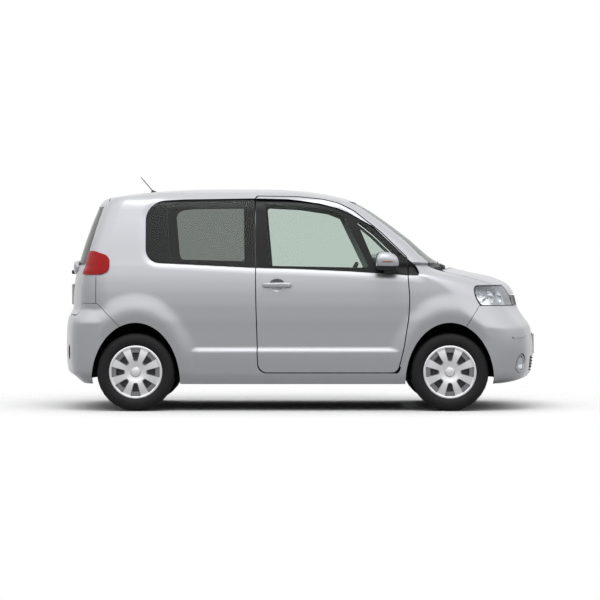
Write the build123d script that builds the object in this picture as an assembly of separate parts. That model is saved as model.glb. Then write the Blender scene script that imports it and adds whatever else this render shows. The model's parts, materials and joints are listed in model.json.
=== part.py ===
"""Compact minivan: hollow body shell split into its panels, with hinged door, bonnet and tailgate and steered wheels."""
from build123d import *
import os
from math import atan2, cos, radians, sin, sqrt, tan

# Driving dimensions, millimetres. X points forward, Y to the left, Z up. The origin is on the ground, mid length.
WHEELBASE = 2440.0
FRONT_AXLE_X = 1164.0
REAR_AXLE_X = FRONT_AXLE_X - WHEELBASE
TRACK = 1474.0
TYRE_RADIUS = 304.0
TYRE_WIDTH = 175.0
RIM_RADIUS = 209.0
ARCH_CLEARANCE = 41.0
ARCH_TOP_CLEARANCE = 80.0
ARCH_FOOT_Z = 220.0
ARCH_HALF = TYRE_RADIUS + ARCH_CLEARANCE
ARCH_RISE = 2 * TYRE_RADIUS + ARCH_TOP_CLEARANCE - ARCH_FOOT_Z
WHEEL_HOUSE_Z = 2 * TYRE_RADIUS + ARCH_TOP_CLEARANCE + 12
AXLE_TOP_Z = TYRE_RADIUS + 42
RAIL_TOP_Z = AXLE_TOP_Z + 54
BODY_BOTTOM = 210.0
FIREWALL_X = 850.0
APRON_X = 885.0
BELT_Z = 1100.0
SHUT_GAP = 10.0
SEAT_GAP = 0.3
PIN_PLAY = 0.05

# Wall thicknesses.
DOOR_WALL = 80.0
FRAME_WALL = 45.0
FENDER_WALL = 6.0
BUMPER_WALL = 25.0
ROOF_WALL = 35.0
BONNET_WALL = 26.0
GLASS_INSET = 4.0
GLASS_WALL = 6.0

# Hinge axes.
DOOR_PIN_LOW = (735.0, -785.0, 302.0)
DOOR_PIN_HIGH = (770.0, -763.0, 1215.0)
DOOR_PIN_R = 10.0
DOOR_SHEAR = 9.0
TAILGATE_EDGE_X = -1500.0
TAILGATE_AXIS = (-1476.0, 1668.0)
TAILGATE_HINGE_Y = 400.0
BONNET_AXIS = (1105.0, 1075.0)
BONNET_HINGE_Y = 560.0
BONNET_PIN_R = 8.0
COWL_GAP = 52.0
TAILGATE_PIN_R = 6.0
KINGPIN_Y = TRACK / 2 - 25
KINGPIN_R = 14.0
SPINDLE_R = 20.0

# The tables below are drawn for this wheelbase, front axle and track; along() and across() fit them to the real ones.
DRAWN_WHEELBASE = 2440.0
DRAWN_FRONT_AXLE = 1164.0
DRAWN_TRACK = 1474.0

# The body as a stack of plan outlines: each is two bowed ends, four rounded corners and two straight sides.
# Columns: height, front end, front bow radius, front corner radius, half width, rear end, rear bow, rear corner, roof share
CONTOURS = [
    (210.0, 1690.0, 2000.0, 400.0, 792.0, -1760.0, 2300.0, 310.0, 0.0),
    (300.0, 1864.0, 1700.0, 400.0, 822.0, -1866.0, 2200.0, 300.0, 0.0),
    (460.0, 1880.0, 1700.0, 390.0, 840.0, -1880.0, 2200.0, 300.0, 0.0),
    (640.0, 1858.0, 1600.0, 390.0, 839.0, -1877.0, 2200.0, 300.0, 0.0),
    (720.0, 1806.0, 1500.0, 410.0, 838.0, -1864.0, 2200.0, 290.0, 0.0),
    (800.0, 1757.0, 1300.0, 420.0, 836.0, -1828.0, 2000.0, 260.0, 0.0),
    (900.0, 1729.0, 1150.0, 430.0, 831.0, -1826.0, 2000.0, 240.0, 0.3),
    (985.0, 1676.0, 1000.0, 440.0, 825.0, -1819.0, 2000.0, 220.0, 0.7),
    (1045.0, 1550.0, 950.0, 430.0, 818.0, -1809.0, 2000.0, 200.0, 1.0),
    (1090.0, 1340.0, 1000.0, 420.0, 812.0, -1799.0, 2000.0, 190.0, 1.0),
    (1130.0, 1190.0, 1200.0, 340.0, 805.0, -1789.0, 1900.0, 180.0, 1.0),
    (1165.0, 1110.0, 1500.0, 260.0, 797.0, -1780.0, 1900.0, 170.0, 0.3),
    (1350.0, 878.0, 1600.0, 180.0, 757.0, -1722.0, 1900.0, 160.0, 0.0),
    (1520.0, 648.0, 1600.0, 160.0, 712.0, -1657.0, 1900.0, 150.0, 0.0),
    (1620.0, 490.0, 1500.0, 160.0, 680.0, -1610.0, 1900.0, 150.0, 0.4),
    (1660.0, 400.0, 1400.0, 180.0, 650.0, -1572.0, 1800.0, 160.0, 0.9),
    (1690.0, 295.0, 1200.0, 220.0, 585.0, -1430.0, 1500.0, 220.0, 1.0),
    (1720.0, 120.0, 1000.0, 240.0, 470.0, -1180.0, 1200.0, 240.0, 1.0),
    (1740.0, -90.0, 900.0, 220.0, 310.0, -900.0, 1000.0, 220.0, 1.0),
]
BELOW_BODY = 120.0

# Outlines seen from the side (x, z), for the right side; the left side mirrors them.
DOOR_OUTLINE = [(-325, 302), (-348, 1100), (-377, 1674), (-50, 1668), (150, 1646), (272, 1616), (354, 1572),
                (815, 1192), (846, 880), (838, 720), (800, 480), (752, 302)]
DOOR_WINDOW = [(-236, 1123), (-279, 1615), (0, 1604), (232, 1572), (330, 1530), (538, 1112)]
VENT_WINDOW = [(432, 1465), (755, 1192), (775, 1082), (608, 1086)]
QUARTER_WINDOW = [(-1090, 1150), (-1165, 1230), (-1195, 1400), (-1150, 1560), (-1010, 1628), (-660, 1642),
                  (-410, 1646), (-402, 1114)]
TAIL_LAMP = [(-1950, 1062), (-1560, 1062), (-1495, 1090), (-1480, 1150), (-1510, 1215), (-1600, 1244), (-1950, 1244)]
REAR_BUMPER = [(-2000, 100), (-2000, 838), (-1575, 835), (-1400, 655), (-1400, 100)]
FRONT_BUMPER = [(2000, 100), (2000, 812), (1395, 818), (1280, 640), (1280, 100)]
HEADLAMP = [(1356, 970), (1362, 900), (1395, 818), (2000, 812), (2000, 905), (1700, 905), (1640, 975)]
FENDER = [(694, 100), (694, 292), (700, 292), (700, 1150), (985, 1185), (1160, 1180), (2000, 1180), (2000, 100)]
# Outline from above (x, half width) of the bonnet, and from behind (half width, z) of the tailgate and its window.
BONNET_PLAN = [(1230, 0), (1208, 300), (1155, 510), (1092, 640), (1350, 632), (1500, 572), (1640, 470), (1800, 330)]
TAILGATE = [(672, 748), (690, 1050), (655, 1350), (600, 1600), (560, 1760)]
TAILGATE_WINDOW = [(575, 1150), (560, 1350), (500, 1580)]
WINDSCREEN = [(645, 1150), (636, 1350), (602, 1520), (575, 1636)]


def along(x):
    """A drawn x on this wheelbase: the nose moves with the front axle, the tail with the rear one."""
    drawn_rear = DRAWN_FRONT_AXLE - DRAWN_WHEELBASE
    share = min(max((x - drawn_rear) / DRAWN_WHEELBASE, 0), 1)
    return x + (REAR_AXLE_X - drawn_rear) * (1 - share) + (FRONT_AXLE_X - DRAWN_FRONT_AXLE) * share


def across(y):
    """A drawn y on this track."""
    return y * TRACK / DRAWN_TRACK


def bowed_end(x_end, bow, corner, half_width):
    """Tangent points of one end in its own direction: bow to corner, middle of the corner, corner to side."""
    reach = sqrt((bow - corner) ** 2 - (half_width - corner) ** 2)
    centre_x, centre_y = x_end - bow + reach, half_width - corner
    turn = atan2(half_width - corner, reach)
    middle = (turn + radians(90)) / 2
    on_bow = (centre_x + corner * cos(turn), centre_y + corner * sin(turn))
    on_corner = (centre_x + corner * cos(middle), centre_y + corner * sin(middle))
    return on_bow, on_corner, (centre_x, half_width)


def plan_wire(z, front, front_bow, front_corner, half_width, rear, rear_bow, rear_corner):
    """One closed plan outline at a height, of four arcs at the corners, two bowed ends and two straight sides."""
    f_bow, f_mid, f_side = bowed_end(front, front_bow, front_corner, half_width)
    r_bow, r_mid, r_side = bowed_end(-rear, rear_bow, rear_corner, half_width)

    def at(point, way=1, side=1):
        return Vector(way * point[0], side * point[1], z)

    tip, tail = Vector(front, 0, z), Vector(rear, 0, z)
    edges = [
        Edge.make_three_point_arc(at(f_bow, 1, -1), tip, at(f_bow)),
        Edge.make_three_point_arc(at(f_bow), at(f_mid), at(f_side)),
        Edge.make_line(at(f_side), at(r_side, -1)),
        Edge.make_three_point_arc(at(r_side, -1), at(r_mid, -1), at(r_bow, -1)),
        Edge.make_three_point_arc(at(r_bow, -1), tail, at(r_bow, -1, -1)),
        Edge.make_three_point_arc(at(r_bow, -1, -1), at(r_mid, -1, -1), at(r_side, -1, -1)),
        Edge.make_line(at(r_side, -1, -1), at(f_side, 1, -1)),
        Edge.make_three_point_arc(at(f_side, 1, -1), at(f_mid, 1, -1), at(f_bow, 1, -1)),
    ]
    return Wire(edges)


def body_stack(lower_inset=0.0, upper_inset=0.0, roof_drop=0.0, from_z=None):
    """The stack of outlines as a solid, drawn in by an inset below and above the belt, with its top dropped."""
    wires = []
    for z, front, f_bow, f_cor, half, rear, r_bow, r_cor, roof in CONTOURS:
        t = lower_inset if z < BELT_Z else upper_inset
        f_bow, f_cor, half, r_bow, r_cor = [across(size) - t for size in (f_bow, f_cor, half, r_bow, r_cor)]
        row = (along(front) - t, f_bow, f_cor, half, along(rear) + t, r_bow, r_cor)
        if z == BODY_BOTTOM and from_z is not None:
            wires.append(plan_wire(from_z, *row))
        wires.append(plan_wire(z - roof_drop * roof, *row))
    return Solid.make_loft(wires, ruled=True)


def box_at(x0, x1, y0, y1, z0, z1):
    """A box between two real corners."""
    return Pos((x0 + x1) / 2, (y0 + y1) / 2, (z0 + z1) / 2) * Box(x1 - x0, y1 - y0, z1 - z0)


def block(x0, x1, y0, y1, z0, z1):
    """A box between two drawn corners."""
    return box_at(along(x0), along(x1), across(y0), across(y1), z0, z1)


def shaft(radius, start, end):
    """A round bar between two real points."""
    axis = Vector(*end) - Vector(*start)
    return extrude(Plane(start, z_dir=axis) * Circle(radius), axis.length)


def rod(radius, start, end):
    """A round bar between two drawn points."""
    ends = [(along(x), across(y), z) for x, y, z in (start, end)]
    return shaft(radius, *ends)


def side_face(points, y, grow=0.0, radius=0.0):
    """A face in the side view at one y, its outline offset outward and its corners rounded on request."""
    sketch = make_face(Polyline(*points, close=True))
    if radius:
        sketch = fillet(sketch.vertices(), radius)
    if grow:
        sketch = offset(sketch, grow)
    return Plane((0, y, 0), x_dir=(1, 0, 0), z_dir=(0, -1, 0)) * sketch


def side_prism(points, y0=-1200.0, y1=-350.0, grow=0.0, radius=0.0, shear=0.0):
    """A prism across the car from a side outline, sheared forward as it goes inward on request."""
    y0, y1 = across(y0), across(y1)
    face = side_face([(along(x), z) for x, z in points], y0, grow, radius)
    way = Vector(tan(radians(shear)), 1, 0)
    return extrude(face, amount=(y1 - y0) * way.length, dir=way.normalized())


def end_prism(points, x0, x1, grow=0.0):
    """A prism along the car from half an outline seen from the end, mirrored about the middle."""
    half = [(across(y), z) for y, z in points]
    whole = half + [(-y, z) for y, z in reversed(half)]
    sketch = make_face(Polyline(*whole, close=True))
    if grow:
        sketch = offset(sketch, grow)
    x0, x1 = along(x0), along(x1)
    return extrude(Plane((x0, 0, 0), x_dir=(0, 1, 0), z_dir=(1, 0, 0)) * sketch, x1 - x0)


def plan_prism(points, z0, z1, grow=0.0):
    """A prism upward from half a plan outline, mirrored about the middle."""
    half = [(along(x), across(y)) for x, y in points]
    whole = half + [(x, -y) for x, y in reversed(half)]
    sketch = make_face(Polyline(*whole, close=True))
    if grow:
        sketch = offset(sketch, grow)
    return extrude(Plane.XY.offset(z0) * sketch, z1 - z0)


def other_side(shape):
    """The mirror image on the left side."""
    return mirror(shape, about=Plane.XZ)


def one(shape):
    """The largest solid of a shape."""
    return max(shape.solids(), key=lambda s: s.volume)


PARTS = {}


def keep(name, shape):
    """Store a finished piece under its node name."""
    PARTS[name] = shape


# Body solids that every panel is cut from.
outer = body_stack()
cabin = body_stack(DOOR_WALL, FRAME_WALL, ROOF_WALL, from_z=BELOW_BODY)
bay = body_stack(BUMPER_WALL, BUMPER_WALL, BONNET_WALL, from_z=BELOW_BODY)
sheet = body_stack(FENDER_WALL, FENDER_WALL, FENDER_WALL, from_z=BELOW_BODY)
thick_wall = outer - cabin
end_wall = outer - bay
fender_wall = outer - sheet
glass_layer = body_stack(GLASS_INSET, GLASS_INSET) - body_stack(
    GLASS_INSET + GLASS_WALL, GLASS_INSET + GLASS_WALL, GLASS_WALL, from_z=BELOW_BODY)

# Tools that cut the panels apart.
def arch_point(turn):
    """A point of the wheel arch, as an offset from the axle and a height, for a turn from its top in degrees."""
    return ARCH_HALF * sin(radians(turn)), ARCH_FOOT_Z + ARCH_RISE * cos(radians(turn))


arches = None
for axle_x in (FRONT_AXLE_X, REAR_AXLE_X):
    at = [(axle_x + arch_point(turn)[0], arch_point(turn)[1]) for turn in (-90, -67.5, -45, 0, 45, 67.5, 90)]
    lines = [ThreePointArc(*at[0:3]), ThreePointArc(*at[2:5]), ThreePointArc(*at[4:7])]
    lines.append(Polyline(at[6], (at[6][0], 50), (at[0][0], 50), at[0]))
    plane = Plane((0, -TRACK, 0), x_dir=(1, 0, 0), z_dir=(0, -1, 0))
    wheel_cut = extrude(plane * make_face(lines), amount=2 * TRACK, dir=(0, 1, 0))
    arches = wheel_cut if arches is None else arches + wheel_cut

door_cut = side_prism(DOOR_OUTLINE, -850.0, -600.0, shear=DOOR_SHEAR)
door_gap_cut = side_prism(DOOR_OUTLINE, -850.0, -590.0, grow=SHUT_GAP, shear=DOOR_SHEAR)
slide_cut = other_side(side_prism(DOOR_OUTLINE, -850.0, -600.0))
quarter_cut = side_prism(QUARTER_WINDOW, radius=35)
door_window_cut = side_prism(DOOR_WINDOW, radius=20)
vent_window_cut = side_prism(VENT_WINDOW, radius=12)
lamp_cut = side_prism(TAIL_LAMP)
rear_bumper_cut = side_prism(REAR_BUMPER, -1000, 1000)
front_bumper_cut = side_prism(FRONT_BUMPER, -1000, 1000)
headlamp_cut = side_prism(HEADLAMP, -1000, -395)
fender_cut = side_prism(FENDER, -1000, -300)
bonnet_cut = plan_prism(BONNET_PLAN, 905, 1300)
bonnet_gap_cut = plan_prism(BONNET_PLAN, 900, 1300, grow=SHUT_GAP)
tailgate_cut = end_prism(TAILGATE, -2000, TAILGATE_EDGE_X)
tailgate_gap_cut = end_prism(TAILGATE, -2000, TAILGATE_EDGE_X + SHUT_GAP, grow=SHUT_GAP)
tailgate_window_cut = end_prism(TAILGATE_WINDOW, -2000, -1400)
windscreen_cut = end_prism(WINDSCREEN, 300, 1300)
roof_cut = block(TAILGATE_EDGE_X + SHUT_GAP, 480, -560, 560, 1600, 1800)
cowl_cut = block(850, 1300, -645, 645, 1000, 1150) - plan_prism(BONNET_PLAN, 900, 1300, grow=COWL_GAP)


def door_axis_point(z):
    """The point of the tilted door axis at a height."""
    share = (z - DOOR_PIN_LOW[2]) / (DOOR_PIN_HIGH[2] - DOOR_PIN_LOW[2])
    return tuple(low + (high - low) * share for low, high in zip(DOOR_PIN_LOW, DOOR_PIN_HIGH))


low_pin = rod(DOOR_PIN_R, door_axis_point(250), door_axis_point(345))
high_pin = rod(DOOR_PIN_R, door_axis_point(1205), door_axis_point(1300))
pin_holes = rod(DOOR_PIN_R + PIN_PLAY, door_axis_point(245), door_axis_point(346))
pin_holes += rod(DOOR_PIN_R + PIN_PLAY, door_axis_point(1204), door_axis_point(1310))


def build_sides():
    """Right and left body sides with their quarter windows, and the roof and glass between them."""
    keep("roof", one((thick_wall & roof_cut) - windscreen_cut))
    keep("windscreen", one(glass_layer & windscreen_cut))
    base = thick_wall - roof_cut - windscreen_cut - tailgate_gap_cut - rear_bumper_cut
    base = base - arches - fender_cut
    side = base & block(-2000, 1000, -1000, 0, 0, 1800)
    sill_end = block(680, 800, -1000, -742, 0, 292) & body_stack(2 * FENDER_WALL, 2 * FENDER_WALL, 2 * FENDER_WALL)
    side = side - quarter_cut - lamp_cut + sill_end
    right = one(side - door_gap_cut - low_pin - high_pin)
    left = one(other_side(side) - slide_cut)
    keep("body_side_right", right)
    keep("body_side_left", left)
    quarter = one(glass_layer & quarter_cut)
    keep("quarter_glass", Compound([quarter, other_side(quarter)]))
    lamp = one(((thick_wall & lamp_cut) & block(-2000, -1300, -1000, -300, 0, 1800)) - tailgate_gap_cut)
    keep("tail_lamps", Compound([lamp, other_side(lamp)]))


def build_doors():
    """The hinged right door and the fixed left sliding door, with their glass."""
    shell = thick_wall & block(-500, 900, -1000, -500, 200, 1760)
    door = (shell & door_cut) - door_window_cut - vent_window_cut
    keep("door_right", one(door - pin_holes))
    washer = rod(16, door_axis_point(293), door_axis_point(301))
    keep("door_pins", Compound([one(low_pin + washer), one(high_pin)]))
    panes = [one(glass_layer & door_window_cut), one(glass_layer & vent_window_cut)]
    keep("door_glass_right", Compound(panes))
    slide = (other_side(shell) & slide_cut) - other_side(door_window_cut) - other_side(vent_window_cut)
    keep("door_left", one(slide))
    keep("door_glass_left", Compound([other_side(pane) for pane in panes]))


def build_front():
    """Front bumper, fenders, headlamps, cowl and bonnet."""
    shell = end_wall & block(1000, 2000, -1000, 1000, 0, 1300)
    keep("front_bumper", one((shell & front_bumper_cut) - arches))
    nose = shell & block(1300, 2000, -395, 395, 812, 900)
    keep("grille", one(nose - front_bumper_cut))
    lamp = one((shell & headlamp_cut) - bonnet_gap_cut - front_bumper_cut)
    keep("headlamps", Compound([lamp, other_side(lamp)]))
    fender = (fender_wall & fender_cut) - front_bumper_cut - headlamp_cut - bonnet_gap_cut - arches
    door_swing_cut = side_prism(DOOR_OUTLINE, -850.0, -590.0, grow=SHUT_GAP + 3, shear=DOOR_SHEAR)
    fender = one(fender - door_swing_cut - block(690, 1300, -645, 645, 1000, 1300))
    keep("fender_right", fender)
    keep("fender_left", other_side(fender))
    keep("cowl", one(end_wall & cowl_cut))
    axis_x, axis_z = BONNET_AXIS
    bonnet = one((outer - Pos(0, 0, -BONNET_WALL) * outer) & bonnet_cut)
    bonnet_room = Pos(0, 0, -BONNET_WALL / 2) * outer
    hinges = []
    for side in (-1, 1):
        y0, y1 = side * (BONNET_HINGE_Y - 12), side * (BONNET_HINGE_Y + 12)
        lug = block(axis_x, axis_x + 50, min(y0, y1), max(y0, y1), axis_z - 12, axis_z + 25) & bonnet_room
        lug += rod(14, (axis_x, y0, axis_z), (axis_x, y1, axis_z))
        bonnet = bonnet + lug - rod(BONNET_PIN_R + PIN_PLAY, (axis_x, y0, axis_z), (axis_x, y1, axis_z))
        arm_y = side * (BONNET_HINGE_Y + 20)
        arm = block(FIREWALL_X, axis_x, arm_y - 7, arm_y + 7, axis_z - 22, axis_z - 2)
        arm += rod(10, (axis_x, arm_y - 7, axis_z), (axis_x, arm_y + 7, axis_z))
        hinges.append(one(arm + rod(BONNET_PIN_R, (axis_x, y0, axis_z), (axis_x, arm_y, axis_z))))
    keep("bonnet", one(bonnet))
    keep("bonnet_hinges", Compound(hinges))


def build_rear():
    """Rear bumper and tailgate with its glass."""
    shell = end_wall & block(-2000, -1300, -1000, 1000, 0, 1000)
    keep("rear_bumper", one((shell & rear_bumper_cut) - arches - tailgate_gap_cut))
    gate = (thick_wall & tailgate_cut) - tailgate_window_cut
    axis_x, axis_z = TAILGATE_AXIS
    pins = []
    roof = PARTS["roof"]
    for side in (-1, 1):
        y0, y1 = side * TAILGATE_HINGE_Y - 20, side * TAILGATE_HINGE_Y + 20
        lug = block(TAILGATE_EDGE_X - 15, axis_x, y0, y1, axis_z - 8, axis_z + 6)
        lug += rod(11, (axis_x, y0, axis_z), (axis_x, y1, axis_z))
        gate = gate + lug - rod(TAILGATE_PIN_R + PIN_PLAY, (axis_x, y0, axis_z), (axis_x, y1, axis_z))
        pin = rod(TAILGATE_PIN_R, (axis_x, y0 - 20, axis_z), (axis_x, y1 + 20, axis_z))
        roof = roof - block(TAILGATE_EDGE_X - 5, axis_x + 18, y0 - 6, y1 + 6, 1600, 1760) - pin
        pins.append(pin)
    keep("roof", one(roof))
    keep("tailgate", one(gate))
    keep("tailgate_pins", Compound(pins))
    keep("tailgate_glass", one(glass_layer & tailgate_window_cut & block(-2000, -1400, -800, 800, 0, 1800)))


def revolved(profile, x, side):
    """A turned piece on a wheel axis, from (radius, distance outward of the tyre's middle) points."""
    middle = TRACK / 2
    points = [(radius, middle + out) for radius, out in profile]
    turned = revolve(Plane.XY * make_face(Polyline(*points, close=True)), axis=Axis.Y)
    turned = Pos(x, 0, TYRE_RADIUS) * turned
    return turned if side > 0 else other_side(turned)


def build_wheels():
    """Four tyres and wheels, with eight windows in each wheel face."""
    half = TYRE_WIDTH / 2
    rim = RIM_RADIUS
    seat = rim - 16
    tyre = [(seat, 57.7), ((rim + TYRE_RADIUS) / 2 - 6.5, half - 1), (TYRE_RADIUS - 20, half - 5), (TYRE_RADIUS, 60)]
    tyre += [(radius, -out) for radius, out in reversed(tyre)]
    wheel = [(0, 60), (0, 78), (42, 78), (70, 70), (rim - 19, 62), (rim - 7, 74), (rim, 74), (rim, 66), (seat, 58)]
    wheel += [(seat, -58), (rim, -66), (rim, -74), (rim - 9, -74), (rim - 25, -58), (rim - 25, 36), (62, 36)]
    wheel += [(62, 33.5), (SPINDLE_R + PIN_PLAY, 33.5), (SPINDLE_R + PIN_PLAY, 60)]
    wide, narrow = rim - 41, rim - 117
    window = make_face(Polyline((-12, narrow), (-34, wide), (-18, wide + 8), (18, wide + 8), (34, wide), (12, narrow),
                                close=True))
    window = extrude(Plane.XZ * window, amount=-TRACK)
    for end, x in (("front", FRONT_AXLE_X), ("rear", REAR_AXLE_X)):
        for name, side in (("right", -1), ("left", 1)):
            keep("tyre_" + end + "_" + name, one(revolved(tyre, x, side)))
            disc = revolved(wheel, x, 1)
            for index in range(8):
                disc -= Pos(x, 0, TYRE_RADIUS) * Rot(0, 45 * index, 0) * window
            disc = one(disc)
            keep("wheel_" + end + "_" + name, disc if side > 0 else other_side(disc))


def build_chassis():
    """Floor, firewall, wheel houses, front structure, axles, knuckles and engine."""
    core = body_stack(DOOR_WALL + SEAT_GAP, FRAME_WALL + SEAT_GAP, ROOF_WALL, from_z=BELOW_BODY)
    floor = (block(-880, 690, -780, 780, 235, 285) & core) + block(690, FIREWALL_X, -640, 640, 235, 285)
    floor += block(-880, -850, -470, 470, 235, 400) + block(-1690, -880, -470, 470, 360, 400)
    floor += block(-1690, -1640, -600, 600, 360, 730)
    floor += block(FIREWALL_X - 20, FIREWALL_X, -640, 640, 285, 1080)
    keep("floor_pan", one(floor))
    top = WHEEL_HOUSE_Z + 12
    house = block(-1640, -905, -482, -470, 360, top) + block(-1640, -905, -780, -470, WHEEL_HOUSE_Z, top)
    house += block(-1640, -1628, -780, -470, 360, top) + block(-917, -905, -780, -470, 360, top)
    house = one(house & core)
    keep("wheel_houses_rear", Compound([house, other_side(house)]))
    sheet_core = body_stack(FENDER_WALL + SEAT_GAP, FENDER_WALL + SEAT_GAP, FENDER_WALL, from_z=BELOW_BODY)
    apron = block(FIREWALL_X, 1500, -467, -455, 350, WHEEL_HOUSE_Z + 12)
    apron += block(APRON_X, 1480, -850, -455, WHEEL_HOUSE_Z, WHEEL_HOUSE_Z + 12)
    apron = one((apron & sheet_core) - PARTS["front_bumper"])
    keep("wheel_houses_front", Compound([apron, other_side(apron)]))
    rail = block(FIREWALL_X, 1640, 330, 400, AXLE_TOP_Z, RAIL_TOP_Z)
    frame = rail + other_side(rail) + block(1560, 1640, -380, 380, AXLE_TOP_Z, 870)
    keep("front_frame", one(frame))
    buffers = []
    for y in (-250, 250):
        buffers.append(one(rod(15, (1600, y, 870), (1600, y, 1100)) & (Pos(0, 0, -BONNET_WALL - SEAT_GAP) * outer)))
    keep("bonnet_buffers", Compound(buffers))
    keep("engine", block(930, 1500, -400, 400, RAIL_TOP_Z, 850))
    hub_z, pivot_y, out_y = TYRE_RADIUS, KINGPIN_Y, TRACK / 2
    front_x, rear_x = FRONT_AXLE_X, REAR_AXLE_X
    beam = box_at(front_x - 34, front_x + 34, 36 - pivot_y, pivot_y - 36, hub_z - 42, AXLE_TOP_Z)
    for side, name in ((-1, "right"), (1, "left")):
        pin_y = side * pivot_y
        eye = shaft(34, (front_x, pin_y, hub_z - 30), (front_x, pin_y, hub_z + 30))
        root = sorted((pin_y, side * (pivot_y - 52)))
        neck = box_at(front_x - 20, front_x + 20, *root, hub_z - 28, hub_z + 28)
        hole = shaft(KINGPIN_R + PIN_PLAY, (front_x, pin_y, hub_z - 104), (front_x, pin_y, hub_z + 96))
        beam = beam + eye + neck - hole
        knuckle = shaft(KINGPIN_R, (front_x, pin_y, hub_z - 58), (front_x, pin_y, hub_z + 58))
        for z0, z1 in ((hub_z + 30 + SEAT_GAP, hub_z + 58), (hub_z - 58, hub_z - 30 - SEAT_GAP)):
            reach = sorted((pin_y, side * (out_y + 31)))
            knuckle += shaft(30, (front_x, pin_y, z0), (front_x, pin_y, z1))
            knuckle += box_at(front_x - 24, front_x + 24, *reach, z0, z1)
        face = sorted((side * (out_y + 15), side * (out_y + 31)))
        knuckle += box_at(front_x - 24, front_x + 24, *face, hub_z - 58, hub_z + 58)
        knuckle += shaft(SPINDLE_R, (front_x, side * (out_y + 23), hub_z), (front_x, side * (out_y + 59), hub_z))
        keep("knuckle_" + name, one(knuckle))
    keep("front_axle", one(beam))
    axle = shaft(SPINDLE_R, (rear_x, -out_y - 59, hub_z), (rear_x, out_y + 59, hub_z))
    axle += shaft(32, (rear_x, 37 - out_y, hub_z), (rear_x, out_y - 37, hub_z))
    for side in (-1, 1):
        axle += shaft(55, (rear_x, side * (out_y - 47), hub_z), (rear_x, side * (out_y + 31), hub_z))
        arm_y = across(side * 550)
        axle += box_at(rear_x - 14, along(-880), arm_y - 30, arm_y + 30, hub_z - 64, hub_z + 26)
    keep("rear_axle", one(axle))


def build_cabin():
    """Dashboard, steering wheel, seats and rear bench."""
    dash = block(560, FIREWALL_X - 20, -620, 620, 700, 1000)
    keep("dashboard", dash)
    up, down = Vector(0.43, 0, 0.903), Vector(0.903, 0, -0.43)
    hub = Vector(along(375), across(-385), 990)
    plane = Plane(hub, x_dir=(0, 1, 0), z_dir=down)
    ring = revolve(Plane(hub, x_dir=(0, 1, 0), z_dir=up) * Pos(175, 0) * Circle(15), axis=Axis(hub, down))
    ring += plane * Box(340, 34, 16) + plane * Pos(0, 88, 0) * Box(40, 170, 16)
    ring += shaft(42, tuple(hub - down * 16), tuple(hub + down * 20))
    ring += shaft(26, tuple(hub + down * 10), tuple(hub + down * 280))
    keep("steering_wheel", one(ring - dash))
    for name, side in (("right", -1), ("left", 1)):
        y0, y1 = sorted((side * 180, side * 630))
        seat = block(-60, 320, y0 + 60, y1 - 60, 285, 430) + block(-100, 390, y0, y1, 430, 560)
        seat += side_prism([(-90, 520), (-320, 1000), (-240, 1018), (30, 540)], y0, y1)
        keep("seat_" + name, one(seat))
    bench = block(-780, -330, -630, 630, 285, 540)
    bench += side_prism([(-780, 500), (-960, 1000), (-870, 1018), (-640, 520)], -630, 630)
    keep("rear_bench", one(bench))


def build_trim():
    """Mirrors, door handles and aerial."""
    for name, side in (("right", 1), ("left", -1)):
        shell = Pos(along(676), across(-905), 1168) * fillet(Box(176, 160, 142).edges(), 40)
        shell += block(640, 720, -880, -780, 1062, 1130)
        shell = one(shell - outer)
        bar = Pos(along(-178), across(-842), 980) * fillet(Box(230, 36, 38).edges().filter_by(Axis.Y), 18)
        bar = one(bar - outer)
        if side < 0:
            shell, bar = other_side(shell), other_side(bar)
        keep("mirror_" + name, shell)
        keep("door_handle_" + name, bar)
    mast = rod(4, (-1180, 0, 1715), (-1288, 0, 1850)) + rod(16, (-1180, 0, 1700), (-1180, 0, 1740))
    keep("aerial", one(mast - outer))


build_sides()
build_doors()
build_front()
build_rear()
build_chassis()
build_cabin()
build_trim()
build_wheels()

os.makedirs("parts", exist_ok=True)
for node, shape in PARTS.items():
    export_step(shape, "parts/" + node + ".step")
    print(node, len(shape.solids()), [round(v) for v in (*shape.bounding_box().min, *shape.bounding_box().max)], shape.is_valid)
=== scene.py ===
"""Studio scene of a silver compact minivan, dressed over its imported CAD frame."""
import json
import logging
import math
from dataclasses import dataclass
from enum import Enum
from typing import Any, Sequence

import bmesh
import bpy
import numpy as np
from mathutils import Matrix, Vector

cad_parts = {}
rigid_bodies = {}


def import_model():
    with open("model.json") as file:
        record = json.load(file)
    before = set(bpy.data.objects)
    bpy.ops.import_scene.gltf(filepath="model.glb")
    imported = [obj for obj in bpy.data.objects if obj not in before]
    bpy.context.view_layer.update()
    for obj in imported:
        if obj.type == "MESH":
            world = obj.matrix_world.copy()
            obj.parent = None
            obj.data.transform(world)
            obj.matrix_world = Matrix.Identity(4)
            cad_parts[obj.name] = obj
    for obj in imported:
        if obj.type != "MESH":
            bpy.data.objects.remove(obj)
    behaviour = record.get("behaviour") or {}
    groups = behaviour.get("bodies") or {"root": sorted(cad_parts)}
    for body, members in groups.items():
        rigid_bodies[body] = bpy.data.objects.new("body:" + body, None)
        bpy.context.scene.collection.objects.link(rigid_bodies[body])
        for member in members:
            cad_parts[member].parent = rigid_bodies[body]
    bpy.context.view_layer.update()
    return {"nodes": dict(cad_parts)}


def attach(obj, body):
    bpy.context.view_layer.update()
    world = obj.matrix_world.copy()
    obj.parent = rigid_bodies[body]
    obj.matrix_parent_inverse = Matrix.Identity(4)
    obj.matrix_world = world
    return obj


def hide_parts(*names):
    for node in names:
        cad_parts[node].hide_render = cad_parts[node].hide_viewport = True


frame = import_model()
LOG = logging.getLogger("minivan")

Point = tuple[float, float]
MM = 0.001


class Side(Enum):
    """Which side of the car a piece is on, as the sign of its y."""

    RIGHT = -1
    LEFT = 1

    @property
    def label(self) -> str:
        """Lower case name used in node names."""
        return self.name.lower()


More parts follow.
